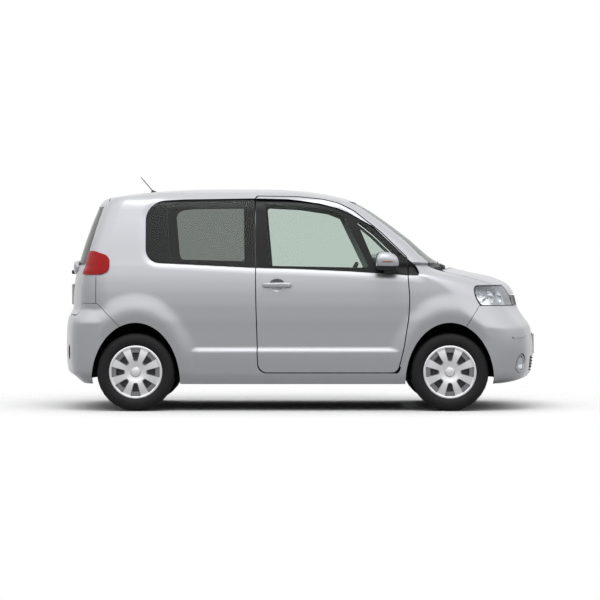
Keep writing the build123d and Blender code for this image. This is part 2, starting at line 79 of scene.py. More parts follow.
class Cut(Enum):
    """Boolean operations."""

    DIFFERENCE = "DIFFERENCE"
    INTERSECT = "INTERSECT"
    UNION = "UNION"


class Axis(Enum):
    """The direction that a prism runs in."""

    X = 0
    Y = 1
    Z = 2


# Shader building


class Sock:
    """An output socket with arithmetic, so that shader maths reads like maths."""

    def __init__(self, graph: "Graph", socket: Any) -> None:
        """Wrap a socket."""
        self.graph = graph
        self.socket = socket

    def maths(self, operation: str, first: Any, second: Any = 0.0, clamp: bool = False) -> "Sock":
        """Add one Math node."""
        return self.graph.node("ShaderNodeMath", {"operation": operation, "use_clamp": clamp},
                               {0: first, 1: second})["Value"]

    def __add__(self, other: Any) -> "Sock":
        """Sum with a value or socket."""
        return self.maths("ADD", self, other)

    def __radd__(self, other: Any) -> "Sock":
        """Sum with a value or socket, from the right."""
        return self.maths("ADD", other, self)

    def __sub__(self, other: Any) -> "Sock":
        """Difference to a value or socket."""
        return self.maths("SUBTRACT", self, other)

    def __rsub__(self, other: Any) -> "Sock":
        """Difference to a value or socket, from the right."""
        return self.maths("SUBTRACT", other, self)

    def __mul__(self, other: Any) -> "Sock":
        """Product with a value or socket."""
        return self.maths("MULTIPLY", self, other)

    def __rmul__(self, other: Any) -> "Sock":
        """Product with a value or socket, from the right."""
        return self.maths("MULTIPLY", other, self)

    def clamp(self) -> "Sock":
        """Clamp to 0..1."""
        return self.maths("ADD", self, 0.0, True)

    def wave(self) -> "Sock":
        """Sine of the value."""
        return self.maths("SINE", self)


class Outputs:
    """The outputs of a node, by name."""

    def __init__(self, graph: "Graph", node: Any) -> None:
        """Wrap a node."""
        self.graph = graph
        self.node = node

    def __getitem__(self, name: str | int) -> Sock:
        """One output, by its name or its place in the list."""
        return Sock(self.graph, self.node.outputs[name])


# Sockets of a colour Mix node by place, because its other data types use the same names
MIX_SHARE, MIX_FIRST, MIX_SECOND, MIX_RESULT = 0, 6, 7, 2


class Graph:
    """A material's or world's node tree."""

    def __init__(self, tree: Any) -> None:
        """Empty the tree."""
        self.tree = tree
        tree.nodes.clear()

    def node(self, kind: str, settings: dict[str, Any] | None = None,
             inputs: dict[Any, Any] | None = None) -> Outputs:
        """Add one node, set it up and link its inputs.

        Args:
            kind: Node type.
            settings: Node properties.
            inputs: Values or sockets for its inputs, by name or index.

        Returns:
            The node's outputs.
        """
        made = self.tree.nodes.new(kind)
        for key, value in (settings or {}).items():
            setattr(made, key, value)
        for key, value in (inputs or {}).items():
            if isinstance(value, Sock):
                self.tree.links.new(value.socket, made.inputs[key])
            else:
                made.inputs[key].default_value = value
        return Outputs(self, made)

    def place(self) -> Sock:
        """Object coordinates in metres."""
        return self.node("ShaderNodeTexCoord")["Object"]

    def noise(self, scale: float, detail: float = 2.0, vector: Sock | None = None) -> Sock:
        """Noise from 0 to 1."""
        return self.node("ShaderNodeTexNoise", {}, {"Vector": vector or self.place(), "Scale": scale,
                                                    "Detail": detail})["Fac"]

    def blend(self, share: Any, first: Any, second: Any) -> Sock:
        """Mix two colours."""
        return self.node("ShaderNodeMix", {"data_type": "RGBA"},
                         {MIX_SHARE: share, MIX_FIRST: first, MIX_SECOND: second})[MIX_RESULT]

    def bump(self, height: Any, strength: float, distance: float = 0.001) -> Sock:
        """A bumped normal."""
        return self.node("ShaderNodeBump", {}, {"Height": height, "Strength": strength,
                                                "Distance": distance})["Normal"]


Tone = tuple[float, float, float, float]
WAVE = 6.283


def rgb(red: float, green: float, blue: float) -> Tone:
    """A colour with full alpha."""
    return (red, green, blue, 1.0)


def grey(value: float) -> Tone:
    """A neutral colour of one brightness."""
    return rgb(value, value, value)


def shaded(tone: Tone, share: float) -> Tone:
    """A share of a colour's brightness, with full alpha."""
    return rgb(tone[0] * share, tone[1] * share, tone[2] * share)


@dataclass(frozen=True)
class Finish:
    """A surface with a base colour, a roughness and a fine texture."""

    name: str
    tone: Tone
    roughness: float = 0.5
    metallic: float = 0.0
    coat: float = 0.0
    grain: float = 900.0
    grain_depth: float = 0.0
    mottle: float = 0.06
    specular: float = 0.5

    @property
    def label(self) -> str:
        """The material's own name, apart from the slots of the CAD."""
        return "van_" + self.name

    def inputs(self, graph: Graph) -> dict[str, Any]:
        """The inputs of the main shader.

        Args:
            graph: The graph to build in.

        Returns:
            Values and sockets by input name.
        """
        cloud = graph.noise(7.0, 3.0)
        made: dict[str, Any] = {
            "Base Color": graph.blend(cloud, shaded(self.tone, 1.0 - self.mottle), self.tone),
            "Roughness": (graph.noise(55.0, 2.0) * 0.12 + (self.roughness - 0.06)).clamp(),
            "Metallic": self.metallic, "Coat Weight": self.coat, "Coat Roughness": 0.03,
            "Specular IOR Level": self.specular,
        }
        if self.grain_depth:
            made["Normal"] = graph.bump(graph.noise(self.grain, 2.0), 0.5, self.grain_depth)
        return made

    def surface(self, graph: Graph) -> Sock:
        """The shader of the surface."""
        return graph.node("ShaderNodeBsdfPrincipled", {}, self.inputs(graph))["BSDF"]

    def build(self) -> bpy.types.Material:
        """Make the material, once.

        Returns:
            The material.
        """
        known = bpy.data.materials.get(self.label)
        if known:
            return known
        made = bpy.data.materials.new(self.label)
        made.use_nodes = True
        graph = Graph(made.node_tree)
        graph.node("ShaderNodeOutputMaterial", {}, {"Surface": self.surface(graph)})
        made.diffuse_color = self.tone
        return made


@dataclass(frozen=True)
class PaintFinish(Finish):
    """Metallic paint: fine flakes under a clear coat."""

    flake: float = 0.05
    flakes: float = 2600.0

    def inputs(self, graph: Graph) -> dict[str, Any]:
        """The inputs of the main shader.

        Args:
            graph: The graph to build in.

        Returns:
            Values and sockets by input name.
        """
        cells = graph.node("ShaderNodeTexVoronoi", {}, {"Vector": graph.place(), "Scale": self.flakes})
        spark = graph.node("ShaderNodeSeparateColor", {}, {"Color": cells["Color"]})["Red"]
        orange_peel = graph.noise(160.0, 2.0)
        return {
            "Base Color": graph.blend(spark, shaded(self.tone, 1.0 - self.flake), self.tone),
            "Roughness": (spark * 0.08 + (self.roughness - 0.04)).clamp(),
            "Metallic": self.metallic, "Coat Weight": self.coat, "Coat Roughness": 0.02,
            "Normal": graph.bump(orange_peel, 0.04, 0.0004),
        }


@dataclass(frozen=True)
class FabricFinish(Finish):
    """Woven seat cloth."""

    thread: float = 520.0

    def inputs(self, graph: Graph) -> dict[str, Any]:
        """The inputs of the main shader.

        Args:
            graph: The graph to build in.

        Returns:
            Values and sockets by input name.
        """
        axes = graph.node("ShaderNodeSeparateXYZ", {}, {"Vector": graph.place()})
        over = ((axes["Y"] + axes["X"] * 0.3) * (self.thread * WAVE)).wave()
        under = ((axes["Z"] + axes["X"]) * (self.thread * WAVE)).wave()
        weave = (over * under * 0.5 + 0.5).clamp()
        # Painted highlight and shade: the cloth is lighter where the weave stands high and darker between the
        # threads, following the same weave as the bump; the noise cloud mixed in is random tone
        pale = tuple(min(c * 1.5 + 0.01, 1.0) for c in self.tone[:3]) + (1.0,)
        cloud = graph.noise(22.0, 3.0)
        return {
            "Base Color": graph.blend((weave * 0.7 + cloud * 0.3).clamp(), self.tone, pale),
            "Roughness": (weave * 0.1 + 0.82).clamp(), "Sheen Weight": 0.25,
            "Normal": graph.bump(weave, 0.35, 0.0006),
        }


@dataclass(frozen=True)
class GlassFinish(Finish):
    """Tinted glass: a share of clear, coloured see-through and a mirror-like surface."""

    coat: float = 0.3
    clear: float = 0.8
    depth: float = 0.1
    edge_loss: float = 0.45

    def surface(self, graph: Graph) -> Sock:
        """The shader of the surface.

        Args:
            graph: The graph to build in.

        Returns:
            The shader.
        """
        film = (graph.noise(3.0, 2.0) * 0.04 + self.roughness).clamp()
        edge = graph.node("ShaderNodeLayerWeight", {}, {"Blend": 0.25})["Fresnel"]
        sheet = graph.node("ShaderNodeBsdfTransparent", {}, {"Color": self.tone})
        body = graph.node("ShaderNodeBsdfPrincipled", {}, {
            "Base Color": shaded(self.tone, self.depth), "Roughness": film, "Coat Weight": self.coat})
        share = ((1.0 - edge * self.edge_loss) * self.clear).clamp()
        return graph.node("ShaderNodeMixShader", {}, {0: share, 1: body["BSDF"], 2: sheet["BSDF"]})["Shader"]


@dataclass(frozen=True)
class LensFinish(Finish):
    """A lamp lens with fine moulded ribs behind a smooth face."""

    specular: float = 0.12
    ribs: float = 130.0
    rib_depth: float = 0.0006
    rib_shade: float = 0.6

    def inputs(self, graph: Graph) -> dict[str, Any]:
        """The inputs of the main shader.

        Args:
            graph: The graph to build in.

        Returns:
            Values and sockets by input name.
        """
        axes = graph.node("ShaderNodeSeparateXYZ", {}, {"Vector": graph.place()})
        rib = ((axes["Z"] * (self.ribs * WAVE)).wave() * 0.5 + 0.5).clamp()
        # Painted shade: the lens colour is darker in the low parts of the ribs, by rib_shade, on top of the
        # bump
        return {
            "Base Color": graph.blend(rib, shaded(self.tone, self.rib_shade), self.tone),
            "Roughness": (rib * 0.1 + self.roughness).clamp(), "Specular IOR Level": self.specular,
            "Normal": graph.bump(rib, 0.3, self.rib_depth),
        }


PAINT = PaintFinish("silver_paint", rgb(0.325, 0.33, 0.349), 0.33, 0.62, 0.25)
EDGE = PaintFinish("edge_paint", rgb(0.31, 0.315, 0.333), 0.40, 0.62, 0.15)
GLOSS_BLACK = Finish("frame_black", rgb(0.006, 0.006, 0.007), 0.3, 0.0, 0.0, 600.0, 0.00005, specular=0.16)
DARK = Finish("dark_plastic", rgb(0.014, 0.015, 0.016), 0.55, 0.0, 0.0, 1400.0, 0.0004, specular=0.3)
UNDER = Finish("underbody_coat", rgb(0.012, 0.012, 0.013), 0.85, 0.0, 0.0, 300.0, 0.0012, specular=0.2)
RUBBER = Finish("seal_rubber", rgb(0.01, 0.01, 0.01), 0.7, 0.0, 0.0, 700.0, 0.0002, specular=0.25)
TYRE = Finish("tyre_rubber", rgb(0.006, 0.006, 0.007), 0.62, 0.0, 0.0, 420.0, 0.0005, specular=0.2)
CAST = Finish("cast_metal", rgb(0.05, 0.05, 0.052), 0.6, 0.6, 0.0, 500.0, 0.0007)
STEEL = Finish("hinge_steel", rgb(0.36, 0.37, 0.38), 0.35, 0.9)
TRIM = Finish("interior_plastic", rgb(0.06, 0.062, 0.064), 0.62, 0.0, 0.0, 1100.0, 0.0005, specular=0.3)
LINER = Finish("headliner_cloth", rgb(0.80, 0.81, 0.80), 0.9, 0.0, 0.0, 1500.0, 0.0006)
CLOTH = FabricFinish("seat_fabric", rgb(0.07, 0.075, 0.085), 0.85)
CLEAR = GlassFinish("clear_glass", rgb(0.865, 0.905, 0.88), 0.02, clear=0.95)
PRIVACY = GlassFinish("privacy_glass", rgb(0.67, 0.69, 0.675), 0.02, clear=0.92, depth=0.35)
LAMP_CLEAR = GlassFinish("lamp_lens", rgb(0.97, 0.98, 0.99), 0.01, clear=0.96)
SCREEN = GlassFinish("screen_glass", rgb(0.80, 0.835, 0.825), 0.02, clear=0.95)
RED = LensFinish("red_lens", rgb(0.54, 0.004, 0.006), 0.08)
AMBER = LensFinish("amber_lens", rgb(0.42, 0.14, 0.03), 0.1)
CHROME = Finish("reflector", rgb(0.72, 0.73, 0.75), 0.12, 1.0, 0.0, mottle=0.05)
HOUSING = Finish("lamp_housing", rgb(0.84, 0.85, 0.86), 0.3, 0.95, 0.0, mottle=0.15)
COVER = PaintFinish("wheel_cover", rgb(0.53, 0.53, 0.545), 0.34, 0.75, 0.4)
# Painted shade: the pockets round the wheel cover's windows get a darker grey than the cover, which stands in
# for the shade inside them
COVER_PAINTED_SHADE = PaintFinish("cover_recess", rgb(0.17, 0.17, 0.18), 0.45, 0.6, 0.2)
PLATE = Finish("plate_white", rgb(0.70, 0.70, 0.67), 0.45, 0.0, 0.2)


# Mesh helpers


def new_object(name: str, verts: Any, faces: Any, finishes: Sequence[Finish] = ()) -> bpy.types.Object:
    """Make a mesh object.

    Args:
        name: Object name.
        verts: Points in metres.
        faces: Point indices of each face.
        finishes: Finishes for its material slots.

    Returns:
        The object, linked to the scene.
    """
    mesh = bpy.data.meshes.new(name)
    mesh.from_pydata([tuple(v) for v in verts], [], [tuple(int(i) for i in f) for f in faces])
    mesh.validate()
    made = bpy.data.objects.new(name, mesh)
    bpy.context.scene.collection.objects.link(made)
    for finish in finishes:
        mesh.materials.append(finish.build())
    return made


def fix_normals(obj: bpy.types.Object) -> None:
    """Turn all faces outward.

    Args:
        obj: A closed mesh object.
    """
    work = bmesh.new()
    work.from_mesh(obj.data)
    bmesh.ops.recalc_face_normals(work, faces=work.faces)
    work.to_mesh(obj.data)
    work.free()


def drop(*objects: bpy.types.Object) -> None:
    """Remove helper objects.

    Args:
        *objects: The objects.
    """
    for obj in objects:
        mesh = obj.data
        bpy.data.objects.remove(obj)
        bpy.data.meshes.remove(mesh)


def bake(obj: bpy.types.Object) -> bpy.types.Object:
    """Apply all modifiers of an object.

    Args:
        obj: The object.

    Returns:
        The same object.
    """
    graph = bpy.context.evaluated_depsgraph_get()
    mesh = bpy.data.meshes.new_from_object(obj.evaluated_get(graph))
    old = obj.data
    obj.modifiers.clear()
    obj.data = mesh
    bpy.data.meshes.remove(old)
    mesh.name = obj.name
    return obj


def cut(obj: bpy.types.Object, tool: bpy.types.Object, how: Cut = Cut.DIFFERENCE) -> bpy.types.Object:
    """Apply one boolean, with the tool's materials on the faces that it leaves.

    Args:
        obj: The object that changes.
        tool: The other operand.
        how: The operation.

    Returns:
        The same object.
    """
    step = obj.modifiers.new("cut", "BOOLEAN")
    step.operation = how.value
    step.solver = "MANIFOLD"
    step.object = tool
    step.material_mode = "TRANSFER"
    return bake(obj)


def twin(obj: bpy.types.Object, name: str) -> bpy.types.Object:
    """Copy an object with its mesh.

    Args:
        obj: The object.
        name: The copy's name.

    Returns:
        The copy.
    """
    made = obj.copy()
    made.data = obj.data.copy()
    made.name = name
    made.data.name = name
    bpy.context.scene.collection.objects.link(made)
    return made


def flip_side(obj: bpy.types.Object) -> bpy.types.Object:
    """Move an object to the other side of the car."""
    obj.data.transform(Matrix.Scale(-1.0, 4, (0.0, 1.0, 0.0)))
    obj.data.flip_normals()
    return obj


def mirrored(obj: bpy.types.Object, name: str) -> bpy.types.Object:
    """Copy an object to the other side of the car."""
    return flip_side(twin(obj, name))


def recolour(obj: bpy.types.Object, finish: Finish) -> bpy.types.Object:
    """Give a whole object one finish."""
    obj.data.materials.clear()
    obj.data.materials.append(finish.build())
    return obj


FITTING_ANGLE = 40.0


def smooth(obj: bpy.types.Object, degrees: float = 32.0, weighted: bool = True) -> bpy.types.Object:
    """Shade smooth with sharp edges above an angle.

    Args:
        obj: The object.
        degrees: The angle.
        weighted: Whether large faces weigh more, which hides slivers at cuts.

    Returns:
        The same object.
    """
    obj.data.shade_smooth()
    obj.data.set_sharp_from_angle(angle=math.radians(degrees))
    if weighted:
        step = obj.modifiers.new("normals", "WEIGHTED_NORMAL")
        step.keep_sharp = True
        step.weight = 80
    return obj


def fitting(obj: bpy.types.Object) -> bpy.types.Object:
    """Shade a small fitting smooth."""
    return smooth(obj, FITTING_ANGLE, False)


def bevel(obj: bpy.types.Object, width: float, segments: int = 3, degrees: float = 40.0) -> bpy.types.Object:
    """Round the sharp edges of an object.

    Args:
        obj: The object.
        width: Bevel width in metres.
        segments: Segments.
        degrees: Edges above this angle are rounded.

    Returns:
        The same object.
    """
    step = obj.modifiers.new("edge", "BEVEL")
    step.width = width
    step.segments = segments
    step.limit_method = "ANGLE"
    step.angle_limit = math.radians(degrees)
    return bake(obj)


def hold(obj: bpy.types.Object, body: str, slot: str, *nodes: str) -> bpy.types.Object:
    """Attach a finished piece to its body, hide the nodes it stands for and log its finish slot.

    Args:
        obj: The piece.
        body: The body it rides on.
        slot: The record's material slot.
        *nodes: The CAD nodes it replaces.

    Returns:
        The piece.
    """
    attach(obj, body)
    if nodes:
        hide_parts(*nodes)
    LOG.info("%s on %s, finish slot %s", obj.name, body, slot)
    return obj


@dataclass
class Outline:
    """A closed outline of straight runs and rounded corners, in millimetres."""

    points: list[Point]
    radii: list[float] | float = 0.0

    def grown(self, by: float) -> "Outline":
        """Offset the outline outward.

        Args:
            by: Distance, negative for inward.

        Returns:
            The new outline.
        """
        pts = np.array(self.points, dtype=float)
        nxt = np.roll(pts, -1, axis=0)
        area = np.sum(pts[:, 0] * nxt[:, 1] - nxt[:, 0] * pts[:, 1])
        run = nxt - pts
        run /= np.linalg.norm(run, axis=1)[:, None]
        normal = np.stack([run[:, 1], -run[:, 0]], axis=1) * (1.0 if area > 0 else -1.0)
        moved = []
        for i in range(len(pts)):
            a, b = normal[i - 1], normal[i]
            moved.append(tuple(pts[i] + by * (a + b) / max(1.0 + float(a @ b), 0.25)))
        radii = self.radii if isinstance(self.radii, (int, float)) else list(self.radii)
        return Outline(moved, radii)

    def drawn(self, steps: int = 8) -> list[Point]:
        """The outline with its corners rounded.

        Args:
            steps: Points per corner.

        Returns:
            The points.
        """
        pts = [np.array(p, dtype=float) for p in self.points]
        count = len(pts)
        radii = [self.radii] * count if isinstance(self.radii, (int, float)) else self.radii
        made: list[Point] = []
        for i, (here, radius) in enumerate(zip(pts, radii)):
            before, after = pts[i - 1] - here, pts[(i + 1) % count] - here
            a, b = np.linalg.norm(before), np.linalg.norm(after)
            before, after = before / a, after / b
            angle = math.acos(float(np.clip(before @ after, -1.0, 1.0)))
            if radius <= 0.0 or angle > math.pi - 0.01:
                made.append(tuple(here))
                continue
            reach = min(radius / math.tan(angle / 2), 0.49 * a, 0.49 * b)
            radius = reach * math.tan(angle / 2)
            middle = before + after
            centre = here + middle / np.linalg.norm(middle) * (radius / math.sin(angle / 2))
            start, stop = here + before * reach - centre, here + after * reach - centre
            for k in range(steps + 1):
                part = start * (1 - k / steps) + stop * (k / steps)
                made.append(tuple(centre + part / np.linalg.norm(part) * radius))
        return made

    def dense(self, step: float = 8.0) -> np.ndarray:
        """Points along the rounded outline at short distances.

        Args:
            step: Distance in millimetres.

        Returns:
            The points as rows.
        """
        pts = np.array(self.drawn(10))
        rows = []
        for a, b in zip(pts, np.roll(pts, -1, axis=0)):
            count = max(int(np.linalg.norm(b - a) / step), 1)
            rows.append(a + (b - a) * np.linspace(0, 1, count, endpoint=False)[:, None])
        return np.concatenate(rows)

    def prism(self, name: str, axis: Axis, low: float, high: float, finish: Finish,
              shear: float = 0.0, steps: int = 8) -> bpy.types.Object:
        """Extrude the outline along an axis.

        Args:
            name: Object name.
            axis: X for an end view (y, z), Y for a side view (x, z), Z for a plan (x, y).
            low: Start along the axis in millimetres.
            high: End along the axis.
            finish: Finish of the faces that it leaves.
            shear: How far the first coordinate moves per millimetre along the axis.
            steps: Points per corner.

        Returns:
            The closed prism.
        """
        flat = self.drawn(steps)
        verts = []
        for along in (low, high):
            for u, v in flat:
                u += shear * (along - low)
                place = {Axis.X: (along, u, v), Axis.Y: (u, along, v), Axis.Z: (u, v, along)}[axis]
                verts.append([c * MM for c in place])
        count = len(flat)
        faces = [tuple(range(count)), tuple(range(count, 2 * count))]
        faces += [(i, (i + 1) % count, count + (i + 1) % count, count + i) for i in range(count)]
        made = new_object(name, verts, faces, [finish])
        fix_normals(made)
        return made


def lathe(name: str, profile: Sequence[Point], finishes: Sequence[Finish], centre: Sequence[float],
          turn: int = 64) -> bpy.types.Object:
    """Turn a closed profile about an axis along y.

    Args:
        name: Object name.
        profile: Closed loop of (radius, y) points in millimetres.
        finishes: Finishes.
        centre: The axis point in metres, its y the origin of the profile.
        turn: Steps round the axis.

    Returns:
        The object.
    """
    count = len(profile)
    verts = []
    for k in range(turn):
        angle = 2 * math.pi * k / turn
        for radius, y in profile:
            radius = max(radius, 0.01)
            verts.append((centre[0] + radius * MM * math.cos(angle), centre[1] + y * MM,
                          centre[2] + radius * MM * math.sin(angle)))
    faces = []
    for k in range(turn):
        for i in range(count):
            j = (i + 1) % count
            n = (k + 1) % turn
            faces.append((k * count + i, k * count + j, n * count + j, n * count + i))
    made = new_object(name, verts, faces, finishes)
    fix_normals(made)
    return made


def loft(name: str, sections: Sequence[tuple[Sequence[float], Sequence[float], Sequence[float]]],
         finishes: Sequence[Finish], steps: int = 40, power: float = 2.6) -> bpy.types.Object:
    """A closed form through rounded sections.

    Args:
        name: Object name.
        sections: Centre, first half axis and second half axis of each section, in millimetres.
        finishes: Finishes.
        steps: Points round a section.
        power: 2 for ellipses, more for squarer sections.

    Returns:
        The object.
    """
    turn = np.linspace(0, 2 * math.pi, steps, endpoint=False)
    u = np.sign(np.cos(turn)) * np.abs(np.cos(turn)) ** (2 / power)
    v = np.sign(np.sin(turn)) * np.abs(np.sin(turn)) ** (2 / power)
    rings = [np.array(c, float) + u[:, None] * np.array(a, float) + v[:, None] * np.array(b, float)
             for c, a, b in sections]
    faces = [tuple(range(steps)), tuple((len(rings) - 1) * steps + i for i in range(steps))]
    for level in range(len(rings) - 1):
        base, top = level * steps, (level + 1) * steps
        for i in range(steps):
            j = (i + 1) % steps
            faces.append((base + i, base + j, top + j, top + i))
    made = new_object(name, np.concatenate(rings) * MM, faces, finishes)
    fix_normals(made)
    return made


def turned(name: str, profile: Sequence[Point], finishes: Sequence[Finish], place: Sequence[float],
           way: Sequence[float], steps: int = 40) -> bpy.types.Object:
    """A turned piece that faces any way.

    Args:
        name: Object name.
        profile: Closed loop of (radius, distance outward) in millimetres.
        finishes: Finishes.
        place: Its origin in millimetres.
        way: The direction it faces.
        steps: Steps round the axis.

    Returns:
        The object.
    """
    made = lathe(name, profile, finishes, (0.0, 0.0, 0.0), steps)
    made.data.transform(Vector((0, 1, 0)).rotation_difference(Vector(way)).to_matrix().to_4x4())
    made.data.transform(Matrix.Translation([c * MM for c in place]))
    return made


def join(obj: bpy.types.Object, *others: bpy.types.Object) -> bpy.types.Object:
    """Add other meshes to an object, with their finishes, and remove them.

    Args:
        obj: The object that stays.
        *others: The objects that are added.

    Returns:
        The object.
    """
    for other in others:
        names = [m.name for m in obj.data.materials]
        places = []
        for material in other.data.materials:
            if material.name not in names:
                obj.data.materials.append(material)
                names.append(material.name)
            places.append(names.index(material.name))
        work = bmesh.new()
        work.from_mesh(obj.data)
        start = len(work.faces)
        work.from_mesh(other.data)
        work.faces.ensure_lookup_table()
        for face in work.faces[start:]:
            face.material_index = places[face.material_index] if places else 0
        work.to_mesh(obj.data)
        work.free()
        drop(other)
    return obj


def step_up(value: np.ndarray, low: float, high: float) -> np.ndarray:
    """Smooth step from 0 at low to 1 at high."""
    t = np.clip((value - low) / (high - low), 0.0, 1.0)
    return t * t * (3.0 - 2.0 * t)


# The body as a stack of plan outlines, in millimetres
# Columns: height, front end, front bow, front corner, half width, rear end, rear bow, rear corner, roof share
CONTOURS = np.array([
    (210, 1690, 2000, 400, 792, -1760, 2300, 310, 0.0), (226, 1768, 1900, 400, 798, -1781, 2280, 308, 0.0),
    (255, 1834, 1800, 400, 808, -1815, 2250, 304, 0.0), (300, 1864, 1700, 400, 820, -1866, 2200, 300, 0.0),
    (460, 1880, 1700, 390, 828, -1880, 2200, 300, 0.0), (640, 1858, 1600, 390, 834, -1877, 2200, 300, 0.0),
    (720, 1806, 1500, 410, 837, -1864, 2200, 290, 0.0), (800, 1757, 1300, 420, 837, -1828, 2000, 260, 0.0),
    (900, 1729, 1150, 430, 833, -1826, 2000, 240, 0.3), (985, 1676, 1000, 440, 826, -1819, 2000, 220, 0.7),
    (1045, 1550, 950, 430, 819, -1809, 2000, 200, 1.0), (1090, 1340, 1000, 420, 812, -1799, 2000, 190, 1.0),
    (1130, 1190, 1200, 340, 805, -1789, 1900, 180, 1.0), (1165, 1110, 1900, 260, 797, -1780, 1900, 170, 0.3),
    (1350, 878, 2400, 180, 757, -1722, 1900, 160, 0.0), (1520, 648, 2400, 160, 712, -1657, 1900, 150, 0.0),
    (1620, 490, 2200, 160, 680, -1610, 1900, 150, 0.4), (1660, 400, 1700, 180, 650, -1572, 1800, 160, 0.9),
    (1690, 295, 1200, 220, 585, -1430, 1500, 220, 1.0), (1720, 120, 1000, 240, 470, -1180, 1200, 240, 1.0),
    (1740, -90, 900, 220, 310, -900, 1000, 220, 1.0)], dtype=float)
BELT_Z = 1100.0
AXLES = {"front": 1164.0, "rear": -1276.0}
ARCH_HALF, ARCH_FOOT, ARCH_RISE = 345.0, 220.0, 468.0

# Outlines of one side, seen from the side as (x, z)
WINDOW_BAND = Outline([(-1200, 1154), (-1207, 1632), (-900, 1650), (-352, 1658), (-100, 1652), (0, 1641),
                       (156, 1617), (297, 1580), (380, 1545), (570, 1437), (726, 1288), (828, 1190),
                       (906, 1127), (938, 1054), (826, 1056), (389, 1085), (0, 1103), (-345, 1112)],
                      [110, 190, 400, 400, 400, 400, 300, 200, 60, 200, 200, 200, 60, 22, 200, 400, 400, 400])
QUARTER_GLASS = Outline([(-1192, 1162), (-1199, 1625), (-900, 1643), (-358, 1651), (-352, 1121)],
                        [104, 183, 400, 8, 8])
QUARTER_HOLE = Outline([(-1010, 1180), (-1040, 1590), (-900, 1610), (-440, 1616), (-432, 1165)],
                       [60, 70, 200, 20, 20])
DOOR = Outline([(-325, 302), (-348, 1100), (-377, 1674), (-50, 1668), (150, 1646), (272, 1616), (392, 1558),
                (612, 1388), (815, 1194), (846, 880), (838, 720), (800, 480), (752, 302)],
               [70, 900, 25, 500, 300, 200, 160, 500, 60, 700, 700, 900, 60])
DOOR_GLASS = Outline([(-236, 1123), (-279, 1622), (0, 1608), (232, 1574), (340, 1532), (548, 1108)],
                     [14, 20, 300, 200, 30, 16])
VENT_GLASS = Outline([(424, 1512), (600, 1374), (722, 1256), (738, 1190), (716, 1106), (592, 1106)],
                     [10, 400, 30, 40, 20, 10])
HEADLAMP = Outline([(1352, 974), (1360, 900), (1400, 817), (2000, 812), (2000, 979)], [40, 120, 50, 0, 0])
FRONT_BUMPER = Outline([(2000, 100), (2000, 812), (1395, 818), (1280, 640), (1280, 100)], 0.0)
REAR_BUMPER = Outline([(-2000, 100), (-2000, 838), (-1575, 835), (-1400, 655), (-1400, 100)],
                      [0, 0, 40, 40, 0])
TAIL_LAMP = Outline([(-1950, 1062), (-1560, 1062), (-1480, 1085), (-1480, 1205), (-1600, 1246),
                     (-1950, 1246)], [0, 60, 60, 60, 60, 0])
FENDER = Outline([(694, 100), (694, 292), (700, 292), (700, 1150), (985, 1185), (1160, 1180), (2000, 1180),
                  (2000, 100)], 0.0)
# Half outlines: the bonnet's in plan as (x, y), the others' from the end as (y, z)
BONNET_HALF = [(1230, 0), (1208, 300), (1155, 510), (1092, 640), (1350, 632), (1500, 572), (1640, 470),
               (1800, 330)]
TAILGATE_HALF = [(672, 748), (690, 1050), (655, 1350), (600, 1600), (560, 1760)]
TAILGATE_GLASS_HALF = [(634, 1136), (612, 1350), (556, 1596)]
TAILGATE_EDGE_X = -1500.0
WINDSCREEN_HALF = [(645, 1150), (636, 1350), (602, 1520), (575, 1636)]
GAP = 8.0
SLIDE_GAP = 6.0
FINE_GAP = 4.0
CORNER_GAP = 20.0
PANE_GAP = 1.5
DOOR_LEAN = 9.0
DOOR_SHEAR = math.tan(math.radians(DOOR_LEAN))
CUT_FLOOR = 120.0
LINER_FROM = 1.11
HANDLE_X, HANDLE_Z = -178.0, 980.0


@dataclass(frozen=True)
class Depths:
    """How far inner forms lie under the plain skin, in millimetres, below zero for proud ones.

    Three values are for the lower body, the upper body and the roof, two for a layer's outer and inner face.
    """

    cabin: tuple[float, float, float] = (74.0, 40.0, 33.0)
    bay: float = 22.0
    frame_pocket: float = 14.0
    rear_pocket: float = 9.0
    fender_edge: float = 3.5
    seal: Point = (30.0, 46.0)
    side_pane: Point = (10.5, 15.5)
    quarter_pane: Point = (9.5, 12.5)
    flush_pane: Point = (3.0, 8.0)
    lamp_lens: Point = (0.5, 3.5)
    lamp_rim: float = 4.0
    lamp_case: tuple[float, float, float] = (64.0, 64.0, 40.0)
    lamp_room: tuple[float, float, float] = (56.0, 56.0, 36.0)
    tail_lens: tuple[float, float, float] = (-18.0, -18.0, 0.0)
    tail_back: tuple[float, float, float] = (46.0, 46.0, 0.0)
    strip: tuple[float, float, float] = (-24.0, -24.0, 0.0)
    kick_panel: float = 26.0


DEPTHS = Depths()


def rectangle(low: Point, high: Point, radius: float = 0.0) -> Outline:
    """A rectangle between two corners."""
    return Outline([low, (high[0], low[1]), high, (low[0], high[1])], radius)


def both_halves(half: Sequence[Point], radius: float = 30.0, plan: bool = False) -> Outline:
    """Close half an outline by mirroring it about the middle of the car.

    Args:
        half: The half, as (half width, height) or, for a plan, (x, half width).
        radius: Corner radius.
        plan: Whether the half is a plan.

    Returns:
        The whole outline.
    """
    if plan:
        whole = list(half) + [(x, -y) for x, y in reversed(half) if y]
    else:
        whole = list(half) + [(-y, z) for y, z in reversed(half)]
    return Outline(whole, radius)


def slopes_through(x: np.ndarray, y: np.ndarray) -> np.ndarray:
    """Slopes of a curve through points that never overshoots them.

    Args:
        x: Rising abscissae.
        y: Values.

    Returns:
        A slope at each point.
    """
    run = np.diff(x)
    rise = np.diff(y) / run
    slope = np.zeros_like(y)
    for i in range(1, len(x) - 1):
        if rise[i - 1] * rise[i] > 0:
            a, b = 2 * run[i] + run[i - 1], run[i] + 2 * run[i - 1]
            slope[i] = (a + b) / (a / rise[i - 1] + b / rise[i])
    slope[0], slope[-1] = rise[0], rise[-1]
    return slope


